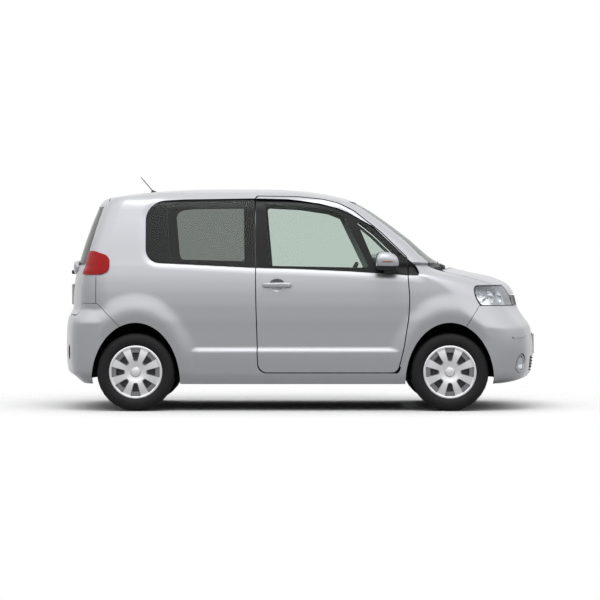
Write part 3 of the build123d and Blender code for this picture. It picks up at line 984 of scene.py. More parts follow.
class BodyForm:
    """The smooth outer form of the car and its inset copies."""

    heights = np.concatenate([
        np.linspace(210, 300, 8, endpoint=False), np.linspace(300, 560, 30, endpoint=False),
        np.linspace(560, 1040, 34, endpoint=False), np.linspace(1040, 1170, 20, endpoint=False),
        np.linspace(1170, 1600, 28, endpoint=False), np.linspace(1600, 1660, 10, endpoint=False),
        np.linspace(1660, 1740, 26)])
    fine_counts = (44, 26, 200)
    coarse_counts = (24, 12, 60)
    belt_blend = 8.0
    roof_crown = 6.0
    # Side relief: the half widths where it starts, then the arch flares, the bumpers' creases, the ledge over
    # the sill and the fold round the windows
    relief_from = (380.0, 560.0)
    arch_scale = 400.0
    flare = 19.0
    flare_fade = (66.0, 205.0)
    flare_roll = 9.0
    roll_width = 50.0
    flare_foot = (230.0, 480.0)
    step_out = 20.0
    step_slope = 78.0
    front_step = (1330.0, 1500.0, 742.0)
    rear_step = (1430.0, 1600.0, 766.0)
    ledge_rear = (-880.0, -790.0)
    ledge_front = (770.0, 850.0)
    ledge_top = (458.0, 500.0)
    ledge_foot = (290.0, 450.0)
    ledge_low = 5.0
    ledge_rise = 11.0
    band_zone = ((-1300.0, 1000.0), (1020.0, 1700.0))
    far = 999.0
    batch = 4000
    flange_depth = 10.0
    flange_width = 46.0
    flange_low = (1180.0, 1420.0)
    flange_rear = (1000.0, 1150.0)

    def __init__(self) -> None:
        """Prepare the slopes of every column."""
        self.slopes = np.stack([slopes_through(CONTOURS[:, 0], CONTOURS[:, c]) for c in range(1, 9)], axis=1)
        self.band = WINDOW_BAND.dense()

    def row(self, z: float) -> np.ndarray:
        """The contour columns at a height.

        Args:
            z: Height in millimetres.

        Returns:
            Front, bow, corner, half width, rear, bow, corner and roof share.
        """
        table = CONTOURS
        i = int(np.clip(np.searchsorted(table[:, 0], z) - 1, 0, len(table) - 2))
        run = table[i + 1, 0] - table[i, 0]
        t = (z - table[i, 0]) / run
        a, b = table[i, 1:], table[i + 1, 1:]
        ma, mb = self.slopes[i] * run, self.slopes[i + 1] * run
        return ((2 * t ** 3 - 3 * t ** 2 + 1) * a + (t ** 3 - 2 * t ** 2 + t) * ma
                + (3 * t ** 2 - 2 * t ** 3) * b + (t ** 3 - t ** 2) * mb)

    def ring(self, row: np.ndarray, inset: float, counts: tuple[int, int, int]) -> np.ndarray:
        """One closed plan outline.

        Args:
            row: Contour columns.
            inset: How far it is drawn in.
            counts: Points on a bowed end, a corner and a side.

        Returns:
            Points (x, y).
        """
        ends, corners, sides = counts
        half = row[3] - inset
        parts = []
        marks = []
        for tip, bow, corner, way in ((row[0], row[1], row[2], 1.0), (-row[4], row[5], row[6], -1.0)):
            tip, bow, corner = tip - inset, bow - inset, corner - inset
            reach = math.sqrt(max((bow - corner) ** 2 - (half - corner) ** 2, 1.0))
            turn = math.atan2(half - corner, reach)
            marks.append((way, tip, bow, corner, reach, turn))
        for way, tip, bow, corner, reach, turn in marks:
            arc = np.linspace(-turn, turn, ends, endpoint=False)
            parts.append(np.stack([tip - bow + bow * np.cos(arc), bow * np.sin(arc)], axis=1) * way)
            arc = np.linspace(turn, math.pi / 2, corners, endpoint=False)
            parts.append(np.stack([tip - bow + reach + corner * np.cos(arc),
                                   half - corner + corner * np.sin(arc)], axis=1) * way)
            other = marks[1] if way > 0 else marks[0]
            start, stop = tip - bow + reach, -(other[1] - other[2] + other[4])
            parts.append(np.stack([np.linspace(start, stop, sides, endpoint=False),
                                   np.full(sides, half)], axis=1) * way)
            arc = np.linspace(math.pi / 2, other[5], corners, endpoint=False)
            parts.append(np.stack([-(other[1] - other[2] + other[4]) - other[3] * np.cos(arc),
                                   half - other[3] + other[3] * np.sin(arc)], axis=1) * way)
        return np.concatenate(parts)

    def relief(self, x: np.ndarray, z: np.ndarray) -> np.ndarray:
        """How far the side skin stands out of the plain form, from its place in the side view.

        Args:
            x: Places along the car.
            z: Heights.

        Returns:
            Outward offsets in millimetres.
        """
        out = np.zeros_like(x)
        for axle in AXLES.values():
            around = np.sqrt(((x - axle) / ARCH_HALF) ** 2 + ((z - ARCH_FOOT) / ARCH_RISE) ** 2)
            away = (around - 1.0) * self.arch_scale
            swell = self.flare * (1.0 - step_up(away, *self.flare_fade))
            roll = self.flare_roll * np.clip((self.roll_width - away) / self.roll_width, 0.0, 1.0)
            out = np.maximum(out, (swell - roll) * step_up(z, *self.flare_foot))
        for along, (start, stop, top) in ((x, self.front_step), (-x, self.rear_step)):
            crease = np.clip((top - z) / self.step_slope, 0.0, 1.0)
            out = np.maximum(out, self.step_out * step_up(along, start, stop) * crease)
        span = step_up(x, *self.ledge_rear) * (1.0 - step_up(x, *self.ledge_front))
        ledge = (1.0 - step_up(z, *self.ledge_top)) * (
            self.ledge_low + self.ledge_rise * step_up(z, *self.ledge_foot))
        out = np.maximum(out, ledge * span)
        near = self.from_band(x, z)
        low_edge = 1.0 - step_up(z, *self.flange_low)
        rear_edge = step_up(-x, *self.flange_rear)
        fold = np.clip(1.0 - near / self.flange_width, 0.0, 1.0) ** 1.5
        out -= self.flange_depth * fold * np.maximum(low_edge, rear_edge)
        return out

    def from_band(self, x: np.ndarray, z: np.ndarray) -> np.ndarray:
        """Distances from the edge of the window band, in the side view.

        Args:
            x: Places along the car.
            z: Heights.

        Returns:
            The distances, or a large one where the band is far.
        """
        (rear, front), (low, high) = self.band_zone
        near = np.full_like(x, self.far)
        pick = (z > low) & (z < high) & (x < front) & (x > rear)
        spots = np.stack([x[pick], z[pick]], axis=1)
        gap = np.full(len(spots), self.far)
        for start in range(0, len(spots), self.batch):
            part = spots[start:start + self.batch]
            gap[start:start + self.batch] = np.min(np.hypot(part[:, None, 0] - self.band[None, :, 0],
                                                            part[:, None, 1] - self.band[None, :, 1]), axis=1)
        near[pick] = gap
        return near

    def solid(self, name: str, finish: Finish, lower: float = 0.0, upper: float = 0.0, drop_roof: float = 0.0,
              detail: bool = False, floor: float | None = None, fine: bool = True) -> bpy.types.Object:
        """The form as a closed mesh, drawn in on request.

        Args:
            name: Object name.
            finish: Its finish.
            lower: Inset below the belt line.
            upper: Inset above the belt line.
            drop_roof: How far roof and bonnet surfaces are lowered.
            detail: Whether the side relief is added.
            floor: Lowest height, when it reaches below the body.
            fine: Whether the mesh is fine.

        Returns:
            The closed mesh object.
        """
        heights = self.heights if fine else self.heights[::3].tolist() + [self.heights[-1]]
        counts = self.fine_counts if fine else self.coarse_counts
        rings = []
        for z in heights:
            row = self.row(float(z))
            share = float(step_up(np.array(z), BELT_Z - self.belt_blend, BELT_Z + self.belt_blend))
            inset = lower + (upper - lower) * share
            flat = self.ring(row, inset, counts)
            rings.append(np.column_stack([flat, np.full(len(flat), z - drop_roof * row[7])]))
        if floor is not None:
            base = rings[0].copy()
            base[:, 2] = floor
            rings.insert(0, base)
        top = rings[-1]
        middle = top.mean(axis=0)
        for scale in (0.8, 0.6, 0.4, 0.2):
            cap = middle + (top - middle) * scale
            cap[:, 2] = top[0, 2] + self.roof_crown * (1 - scale ** 2)
            rings.append(cap)
        pts = np.concatenate(rings)
        if detail:
            weight = step_up(np.abs(pts[:, 1]), *self.relief_from)
            pts[:, 1] += np.sign(pts[:, 1]) * self.relief(pts[:, 0], pts[:, 2]) * weight
        count, levels = len(rings[0]), len(rings)
        index = np.arange(count)
        faces = []
        for level in range(levels - 1):
            a = level * count + index
            b = level * count + np.roll(index, -1)
            faces.append(np.stack([a, b, b + count, a + count], axis=1))
        quads = np.concatenate(faces).tolist()
        quads.append(list(range(count))[::-1])
        quads.append([(levels - 1) * count + i for i in range(count)])
        return new_object(name, pts * MM, quads, [finish])

    def inset(self, name: str, finish: Finish, depth: float, detail: bool = False, floor: float | None = None,
              fine: bool = True) -> bpy.types.Object:
        """The form drawn in by the same depth everywhere."""
        return self.solid(name, finish, depth, depth, depth, detail, floor, fine)


class Tools:
    """The cutting tools that the panels share."""

    def __init__(self) -> None:
        """Start without tools."""
        self.made: dict[str, bpy.types.Object] = {}

    def side(self, key: str, outline: Outline, finish: Finish, grow: float = 0.0, low: float = -1200.0,
             high: float = -300.0, shear: float = 0.0) -> bpy.types.Object:
        """A prism across the right side.

        Args:
            key: Name of the tool.
            outline: Side outline.
            finish: Finish of the faces that it leaves.
            grow: Outward offset.
            low: Outer y.
            high: Inner y.
            shear: Forward movement per millimetre inward.

        Returns:
            The tool.
        """
        if key not in self.made:
            shape = outline.grown(grow) if grow else outline
            self.made[key] = shape.prism("tool_" + key, Axis.Y, low, high, finish, shear)
        return self.made[key]

    def end(self, key: str, half: Sequence[Point], low: float, high: float, finish: Finish, grow: float = 0.0,
            radius: float = 30.0) -> bpy.types.Object:
        """A prism along the car.

        Args:
            key: Name of the tool.
            half: Half outline seen from the end.
            low: Start x.
            high: End x.
            finish: Finish of the faces that it leaves.
            grow: Outward offset.
            radius: Corner radius.

        Returns:
            The tool.
        """
        if key not in self.made:
            shape = both_halves(half, radius)
            shape = shape.grown(grow) if grow else shape
            self.made[key] = shape.prism("tool_" + key, Axis.X, low, high, finish)
        return self.made[key]

    def plan(self, key: str, half: Sequence[Point], low: float, high: float, finish: Finish,
             grow: float = 0.0, radius: float = 60.0) -> bpy.types.Object:
        """A prism upward.

        Args:
            key: Name of the tool.
            half: Half plan outline.
            low: Start z.
            high: End z.
            finish: Finish of the faces that it leaves.
            grow: Outward offset.
            radius: Corner radius.

        Returns:
            The tool.
        """
        if key not in self.made:
            shape = both_halves(half, radius, plan=True)
            shape = shape.grown(grow) if grow else shape
            self.made[key] = shape.prism("tool_" + key, Axis.Z, low, high, finish)
        return self.made[key]

    def box(self, key: str, low: Sequence[float], high: Sequence[float], finish: Finish) -> bpy.types.Object:
        """A box.

        Args:
            key: Name of the tool.
            low: Lowest corner in millimetres.
            high: Highest corner.
            finish: Finish of the faces that it leaves.

        Returns:
            The tool.
        """
        if key not in self.made:
            base = rectangle((low[0], low[1]), (high[0], high[1]))
            self.made[key] = base.prism("tool_" + key, Axis.Z, low[2], high[2], finish)
        return self.made[key]

    def other(self, key: str) -> bpy.types.Object:
        """The left copy of a right side tool."""
        if key + "_left" not in self.made:
            self.made[key + "_left"] = mirrored(self.made[key], "tool_" + key + "_left")
        return self.made[key + "_left"]

    def clear(self) -> None:
        """Remove all tools."""
        drop(*self.made.values())
        self.made.clear()


class Shell:
    """The painted body, cut into its panels."""

    def __init__(self) -> None:
        """Build the walls and the cutting tools."""
        self.form = BodyForm()
        self.tools = Tools()
        self.draw_side_tools()
        self.draw_end_tools()
        self.draw_zones()
        self.outer = self.form.solid("form_outer", PAINT, detail=True)
        self.cabin = self.form.solid("form_cabin", TRIM, *DEPTHS.cabin, floor=CUT_FLOOR, fine=False)
        self.cabin.data.materials.append(LINER.build())
        for face in self.cabin.data.polygons:
            face.material_index = int(face.center.z > LINER_FROM)
        self.bay = self.form.inset("form_bay", UNDER, DEPTHS.bay, floor=CUT_FLOOR, fine=False)
        self.pocket = self.form.inset("form_pocket", GLOSS_BLACK, DEPTHS.frame_pocket)
        shallow = self.form.inset("form_shallow", GLOSS_BLACK, DEPTHS.rear_pocket)
        self.rear_band = cut(twin(self.tools.made["rear_glass"], "tool_rear_band"), shallow)
        drop(shallow)
        self.thick = cut(twin(self.outer, "wall_thick"), self.cabin)
        self.thin = cut(twin(self.outer, "wall_thin"), self.bay)
        self.band = cut(WINDOW_BAND.prism("tool_band", Axis.Y, -1000, -500, GLOSS_BLACK), self.pocket)
        LOG.info("walls ready: %d faces", len(self.thick.data.polygons))

    def draw_side_tools(self) -> None:
        """Tools that are drawn in the side view."""
        # Columns: name, outline, finish, outward offset, outer y, inner y, shear
        rows = (("door", DOOR, EDGE, 0.0, -850, -560, DOOR_SHEAR),
                ("door_gap", DOOR, EDGE, GAP, -850, -540, DOOR_SHEAR),
                ("quarter_hole", QUARTER_HOLE, GLOSS_BLACK),
                ("door_glass", DOOR_GLASS, GLOSS_BLACK),
                ("vent_glass", VENT_GLASS, GLOSS_BLACK),
                ("door_hole", DOOR_GLASS.grown(-6), GLOSS_BLACK),
                ("vent_hole", VENT_GLASS.grown(-6), GLOSS_BLACK),
                ("quarter_glass", QUARTER_GLASS, GLOSS_BLACK),
                ("tail_lamp", TAIL_LAMP, PAINT),
                ("headlamp", HEADLAMP, DARK, 0.0, -1000, -395),
                ("headlamp_gap", HEADLAMP, PAINT, FINE_GAP, -1000, -391),
                ("fender", FENDER, EDGE, 0.0, -1000, -300),
                ("front_bumper", FRONT_BUMPER, PAINT, 0.0, -1000, 1000),
                ("front_bumper_gap", FRONT_BUMPER, PAINT, FINE_GAP, -1000, 1000),
                ("rear_bumper", REAR_BUMPER, PAINT, 0.0, -1000, 1000),
                ("rear_bumper_gap", REAR_BUMPER, PAINT, FINE_GAP, -1000, 1000))
        for row in rows:
            self.tools.side(*row)
        turns = [math.radians(degrees) for degrees in range(-90, 91, 5)]
        arch = [(ARCH_HALF * math.sin(turn), ARCH_FOOT + ARCH_RISE * math.cos(turn)) for turn in turns]
        for end, x in AXLES.items():
            path = [(x + u, v) for u, v in arch] + [(x + ARCH_HALF, 60), (x - ARCH_HALF, 60)]
            self.tools.side("arch_" + end, Outline(path), UNDER, 0.0, -1100, 1100)

    def draw_end_tools(self) -> None:
        """Tools that are drawn in plan or from an end of the car."""
        # Columns: name, half outline, low z, high z, finish, outward offset
        for row in (("bonnet", BONNET_HALF, 905, 1300, PAINT),
                    ("bonnet_gap", BONNET_HALF, 896, 1300, PAINT, GAP),
                    ("bonnet_cowl", BONNET_HALF, 896, 1300, DARK, 52.0)):
            self.tools.plan(*row)
        hole = [(y - 90, z) for y, z in TAILGATE_GLASS_HALF]
        # Columns: name, half outline, rear x, front x, finish, outward offset, corner radius
        for row in (("tailgate", TAILGATE_HALF, -2000, TAILGATE_EDGE_X, PAINT),
                    ("tailgate_gap", TAILGATE_HALF, -2000, TAILGATE_EDGE_X + GAP, PAINT, GAP),
                    ("rear_glass", TAILGATE_GLASS_HALF, -2000, -1400, GLOSS_BLACK, 0.0, 40),
                    ("rear_hole", hole, -2000, -1300, GLOSS_BLACK, -22.0, 40),
                    ("screen", WINDSCREEN_HALF, 300, 1300, GLOSS_BLACK, 0.0, 40),
                    ("rear_pane", TAILGATE_GLASS_HALF, -2000, -1400, GLOSS_BLACK, -PANE_GAP, 40),
                    ("screen_pane", WINDSCREEN_HALF, 300, 1300, GLOSS_BLACK, -PANE_GAP, 40)):
            self.tools.end(*row)

    def draw_zones(self) -> None:
        """Boxes that mark off the part of a wall that a panel comes from."""
        # Columns: name, low corner, high corner, finish
        for row in (("right_half", (-2000, -1000, 0), (1000, 0, 1900), PAINT),
                    ("door_zone", (-500, -1000, 200), (900, -500, 1760), PAINT),
                    ("nose", (1000, -1000, 0), (2000, 1000, 1300), PAINT),
                    ("fender_zone", (600, -1000, 0), (2000, -300, 1300), PAINT),
                    ("tail", (-2000, -1000, 0), (-1300, 1000, 1900), PAINT),
                    ("roof", (TAILGATE_EDGE_X + GAP, -560, 1600), (480, 560, 1900), PAINT),
                    ("roof_gap", (TAILGATE_EDGE_X, -563, 1590), (500, 563, 1900), PAINT),
                    ("cowl", (850, -645, 1000), (1300, 645, 1150), DARK),
                    ("cowl_room", (650, -648, 1000), (1300, 648, 1300), PAINT),
                    ("grille", (1300, -395, 812), (2000, 395, 900), DARK),
                    ("corner_line", (-1588, -1000, 832), (-1583, -799, 1060), DARK),
                    ("lip", (1300, -385, 850), (2000, 385, 935), DARK)):
            self.tools.box(*row)

    def panel(self, name: str, wall: bpy.types.Object, keep: Sequence[str],
              remove: Sequence[str] = ()) -> bpy.types.Object:
        """Cut one panel out of a wall.

        Args:
            name: Panel name.
            wall: The wall.
            keep: Tools whose common part is kept.
            remove: Tools that are cut away.

        Returns:
            The panel.
        """
        made = twin(wall, name)
        for key in keep:
            cut(made, self.tools.made[key], Cut.INTERSECT)
        for key in remove:
            cut(made, self.tools.made[key])
        return made

    def build(self) -> None:
        """Cut all the panels and hand them over."""
        self.body_sides()
        self.doors()
        roof = self.panel("roof_panel", self.thick, ["roof"], ["screen"])
        hold(smooth(roof), "body", "silver_paint", "roof")
        self.fenders()
        self.front_end()
        self.rear_end()
        self.grille()
        LOG.info("panels cut")

    def body_sides(self) -> None:
        """Both body sides, with their window bands, lamp openings and door openings."""
        side = self.panel("body_side_right", self.thick, ["right_half"],
                          ["roof_gap", "screen", "tailgate_gap", "rear_bumper_gap", "arch_front", "arch_rear",
                           "fender"])
        cut(side, self.band)
        for key in ("quarter_hole", "tail_lamp", "corner_line"):
            cut(side, self.tools.made[key])
        left = mirrored(side, "body_side_left")
        cut(side, self.tools.made["door_gap"])
        slide_gap = DOOR.grown(SLIDE_GAP).prism("tool_slide", Axis.Y, 1000, 500, EDGE)
        cut(left, slide_gap)
        drop(slide_gap)
        self.blacken(side)
        self.blacken(left)
        hold(smooth(side), "body", "silver_paint", "body_side_right")
        hold(smooth(left), "body", "silver_paint", "body_side_left")

    def doors(self) -> None:
        """The driver's door and the sliding door of the left side."""
        bowl = self.handle_bowl()
        door = self.panel("door_right", self.thick, ["door_zone", "door"])
        self.open_door(door, bowl)
        self.blacken(door)
        hold(smooth(door), "driver_door", "silver_paint", "door_right")
        slide = self.panel("door_left_base", self.thick, ["door_zone"])
        self.open_door(slide, bowl)
        left = mirrored(slide, "door_left")
        straight = DOOR.prism("tool_slide", Axis.Y, 1000, 500, EDGE)
        cut(left, straight, Cut.INTERSECT)
        drop(bowl, slide, straight)
        self.blacken(left)
        hold(smooth(left), "body", "silver_paint", "door_left")

    def handle_bowl(self) -> bpy.types.Object:
        """The round bowl behind the right door's handle.

        Returns:
            The cutting tool.
        """
        half = [(0, 24), (22, 22), (40, 15), (52, 6)]
        loop = half + [(56, 0)] + [(radius, -deep) for radius, deep in reversed(half)]
        bowl = turned("tool_bowl", loop, [PAINT], (0, 0, 0), (0, -1, 0), 48)
        bowl.data.transform(Matrix.Diagonal((1.15, 1.0, 1.0, 1.0)))
        bowl.data.transform(Matrix.Translation([c * MM for c in (HANDLE_X, -829.0, HANDLE_Z)]))
        return bowl

    def open_door(self, door: bpy.types.Object, bowl: bpy.types.Object) -> None:
        """Cut the window band, the windows and the handle's bowl into a door."""
        for tool in (self.band, self.tools.made["door_hole"], self.tools.made["vent_hole"], bowl):
            cut(door, tool)

    def fenders(self) -> None:
        """Both front fenders, with a thin rear edge that the opened door clears."""
        fender = self.panel("fender_right", self.thin, ["fender_zone", "fender"],
                            ["front_bumper_gap", "headlamp_gap", "bonnet_gap", "arch_front", "door_gap",
                             "cowl_room"])
        cut(fender, self.band)
        room = rectangle((690, 290), (890, 1010)).prism("tool_flange", Axis.Y, -1000, -600, UNDER)
        slim = self.form.inset("form_slim", UNDER, DEPTHS.fender_edge, detail=True)
        cut(fender, cut(room, slim, Cut.INTERSECT))
        notch = rectangle((690, 293.5), (800, 345)).prism("tool_notch", Axis.Y, -1000, -600, EDGE)
        wide = DOOR.grown(CORNER_GAP).prism("tool_wide", Axis.Y, -1000, -600, EDGE)
        cut(fender, cut(notch, wide, Cut.INTERSECT))
        drop(room, slim, notch, wide)
        self.blacken(fender)
        hold(smooth(mirrored(fender, "fender_left")), "body", "silver_paint", "fender_left")
        hold(smooth(fender), "body", "silver_paint", "fender_right")

    def front_end(self) -> None:
        """The front bumper, the bonnet and the cowl."""
        bumper = self.panel("front_bumper_skin", self.thin, ["nose", "front_bumper"], ["arch_front"])
        self.dress_front(bumper)
        hold(smooth(bumper), "body", "bumper_paint", "front_bumper")
        bonnet = self.panel("bonnet_skin", self.thin, ["nose", "bonnet"], ["headlamp_gap"])
        cut(bonnet, self.tools.other("headlamp_gap"))
        hold(smooth(bonnet), "bonnet_lid", "silver_paint", "bonnet")
        cowl = self.panel("cowl_panel", self.thin, ["nose", "cowl"], ["bonnet_cowl"])
        hold(smooth(recolour(cowl, DARK)), "body", "dark_plastic", "cowl")

    def rear_end(self) -> None:
        """The rear bumper and the tailgate."""
        rear = self.panel("rear_bumper_skin", self.thin, ["tail", "rear_bumper"],
                          ["arch_rear", "tailgate_gap"])
        self.cut_round(rear, "tool_reflector", (-1815, 535, 452), (-0.97, 0.243, 0), (60, 57), 40)
        hold(smooth(rear), "body", "bumper_paint", "rear_bumper")
        gate = self.panel("tailgate_skin", self.thick, ["tail", "tailgate"], ["rear_hole"])
        cut(gate, self.rear_band)
        hold(smooth(gate), "tailgate_lid", "silver_paint", "tailgate")

    def grille(self) -> None:
        """The bar between the headlamps and the seal behind it, under the bonnet's edge."""
        grille = self.panel("grille_bar", self.thin, ["nose", "grille"], ["front_bumper_gap", "bonnet_gap"])
        hold(smooth(recolour(grille, DARK)), "body", "dark_plastic", "grille")
        outer = self.form.inset("form_lip", DARK, DEPTHS.seal[0], fine=False)
        inner = self.form.inset("form_lip_back", DARK, DEPTHS.seal[1], floor=CUT_FLOOR, fine=False)
        lip = cut(cut(twin(self.tools.made["lip"], "bonnet_seal"), outer, Cut.INTERSECT), inner)
        drop(outer, inner)
        hold(smooth(lip), "body", "seal_rubber")

    def blacken(self, obj: bpy.types.Object) -> None:
        """Give the cut edges in the window band the frame's black.

        Args:
            obj: A panel.
        """
        names = [m.name for m in obj.data.materials]
        if GLOSS_BLACK.label not in names or EDGE.label not in names:
            return
        edge, black = names.index(EDGE.label), names.index(GLOSS_BLACK.label)
        ring = np.array(WINDOW_BAND.grown(9).drawn(8))
        nxt = np.roll(ring, -1, axis=0)
        for face in obj.data.polygons:
            if face.material_index == edge:
                x, z = face.center.x / MM, face.center.z / MM
                spans = (ring[:, 1] > z) != (nxt[:, 1] > z)
                cross = ring[spans, 0] + (z - ring[spans, 1]) / (nxt[spans, 1] - ring[spans, 1]) * (
                    nxt[spans, 0] - ring[spans, 0])
                if int(np.sum(cross > x)) % 2:
                    face.material_index = black

    def dress_front(self, bumper: bpy.types.Object) -> None:
        """Cut the lower grille, the plate's flat and the fog lamp recesses into the front bumper.

        Args:
            bumper: The bumper skin.
        """
        mouth = Outline([(-430, 300), (430, 300), (470, 420), (-470, 420)], 40).prism(
            "tool_mouth", Axis.X, 1600, 2000, DARK)
        cut(bumper, mouth)
        back = cut(cut(twin(mouth, "lower_grille"), self.pocket, Cut.INTERSECT), self.bay)
        for z in range(318, 415, 24):
            bar = rectangle((-470, z), (470, z + 9)).prism("tool_bar", Axis.X, 1600, 2000, DARK)
            cut(cut(bar, mouth, Cut.INTERSECT), self.outer, Cut.INTERSECT)
            join(back, cut(bar, self.bay))
        hold(smooth(recolour(back, DARK), 30.0, False), "body", "dark_plastic")
        flat = rectangle((-174, 420), (174, 600), 14).prism("tool_flat", Axis.X, 1869, 2000, PAINT)
        cut(bumper, flat)
        drop(mouth, flat)
        self.cut_round(bumper, "tool_fog", (1722, 676, 370), (0.809, 0.588, 0), (78, 74), 48)

    def cut_round(self, bumper: bpy.types.Object, name: str, place: Sequence[float], way: Sequence[float],
                  radii: Point, steps: int) -> None:
        """Cut a round recess into both sides of a bumper.

        Args:
            bumper: The bumper skin.
            name: Name of the tool.
            place: The left recess's place.
            way: The direction that it faces.
            radii: Radii at its mouth and at its back.
            steps: Steps round it.
        """
        wide, narrow = radii
        for side in Side:
            recess = turned(name, [(0, -60), (0, 60), (wide, 60), (narrow, -60)], [DARK],
                            (place[0], side.value * place[1], place[2]),
                            (way[0], side.value * way[1], way[2]), steps)
            cut(bumper, recess)
            drop(recess)

    def glass(self) -> None:
        """Make every pane from a thin layer under the skin."""
        deep = self.layer("deep", *DEPTHS.side_pane)
        film = self.layer("film", *DEPTHS.quarter_pane)
        flush = self.layer("flush", *DEPTHS.flush_pane)
        for name, key in (("door_pane_right", "door_glass"), ("vent_pane_right", "vent_glass")):
            pane = self.pane(name, deep, key, CLEAR)
            other = mirrored(pane, name.replace("right", "left"))
            hold(pane, "driver_door", "clear_glass", "door_glass_right")
            hold(other, "body", "clear_glass", "door_glass_left")
        pane = self.pane("quarter_pane_right", film, "quarter_glass", PRIVACY)
        other = mirrored(pane, "quarter_pane_left")
        for piece in (pane, other):
            hold(piece, "body", "privacy_glass", "quarter_glass")
        screen = self.pane("windscreen_pane", flush, "screen_pane", SCREEN)
        hold(screen, "body", "clear_glass", "windscreen")
        rear = self.pane("rear_pane", flush, "rear_pane", PRIVACY)
        hold(rear, "tailgate_lid", "privacy_glass", "tailgate_glass")
        drop(deep, film, flush)
        LOG.info("glass ready")

    def pane(self, name: str, layer: bpy.types.Object, key: str, finish: Finish) -> bpy.types.Object:
        """Cut one pane out of a layer."""
        made = cut(twin(layer, name), self.tools.made[key], Cut.INTERSECT)
        return smooth(recolour(made, finish))

    def layer(self, name: str, depth: float, back: float) -> bpy.types.Object:
        """A thin layer under the skin.

        Args:
            name: Its name.
            depth: Depth of its outer face.
            back: Depth of its inner face.

        Returns:
            The layer.
        """
        face = self.form.inset("form_" + name, CLEAR, depth)
        inner = self.form.inset("form_back", CLEAR, back, floor=CUT_FLOOR)
        cut(face, inner)
        drop(inner)
        return face

    def finish(self) -> None:
        """Remove the helpers."""
        drop(self.outer, self.cabin, self.bay, self.pocket, self.thick, self.thin, self.band, self.rear_band)
        self.tools.clear()


@dataclass
class Wheel:
    """A tyre, its wheel cover and the dark steel wheel behind it."""

    end: str
    side: Side
    body: str
    track_half: float = 737.0
    radius: float = 304.0
    windows: int = 8

    def build(self) -> None:
        """Make the tyre and the wheel."""
        centre = (AXLES[self.end] * MM, self.track_half * MM, self.radius * MM)
        tag = f"{self.end}_{self.side.label}"
        tyre = self.make_tyre("tyre_" + tag + "_skin", centre)
        cover = self.make_cover("cover_" + tag, centre)
        for piece, slot, node in ((tyre, "tyre_rubber", "tyre_" + tag),
                                  (cover, "wheel_cover", "wheel_" + tag)):
            if self.side is Side.RIGHT:
                flip_side(piece)
            hold(smooth(piece, 30.0, False), self.body, slot, node)

    def make_tyre(self, name: str, centre: Sequence[float]) -> bpy.types.Object:
        """The tyre with rounded shoulders, side rings and tread grooves.

        Args:
            name: Object name.
            centre: Wheel centre in metres.

        Returns:
            The tyre.
        """
        r = self.radius
        outer = [(196, 60), (207, 71), (230, 84), (250, 86.5), (270, 84), (285, 79), (297, 69), (r - 1.5, 52)]
        tread = [(r, 36), (r - 8, 33), (r - 8, 27), (r, 24)]
        half = outer + tread
        loop = half + [(a, -b) for a, b in reversed(half)]
        return lathe(name, loop, [TYRE], centre, 30)

    def make_cover(self, name: str, centre: Sequence[float]) -> bpy.types.Object:
        """The wheel cover with its windows, over a dark wheel.

        Args:
            name: Object name.
            centre: Wheel centre in metres.

        Returns:
            The cover.
        """
        # Profiles as (radius, distance outward)
        face = [(0, 82), (22, 81.5), (33, 79), (37, 74), (39, 70), (48, 70.5), (62, 74), (96, 80), (140, 79),
                (172, 75), (186, 73.5), (190, 74.5), (198, 76.5), (206, 74), (208, 68), (206, 62), (186, 57),
                (150, 57), (60, 56), (0, 60)]
        back = [(0, 46), (0, 52), (40, 50), (90, 40), (170, 36), (182, 40), (196, 60), (206, 66), (206, -66),
                (198, -72), (190, -66), (180, -50), (178, 24), (90, 30), (66, 36)]
        recess = Outline([(-15, 82), (-42, 187), (42, 187), (15, 82)], [15, 6, 6, 15])
        window = Outline([(-12, 92), (-29, 152), (29, 152), (12, 92)], [11, 8, 8, 11])
        cover = lathe(name, face, [COVER], centre, 128)
        for k in range(self.windows):
            angle = 2 * math.pi * k / self.windows
            # The pockets take the darker cover colour, which is painted shade
            for tool in (recess.prism("tool_pocket", Axis.Y, 62.5, 120, COVER_PAINTED_SHADE),
                         window.prism("tool_window", Axis.Y, 0, 120, DARK)):
                tool.data.transform(Matrix.Rotation(angle, 4, "Y"))
                tool.data.transform(Matrix.Translation(centre))
                cut(cover, tool)
                drop(tool)
        return join(cover, lathe("tool_disc", back, [CAST], centre, 64))


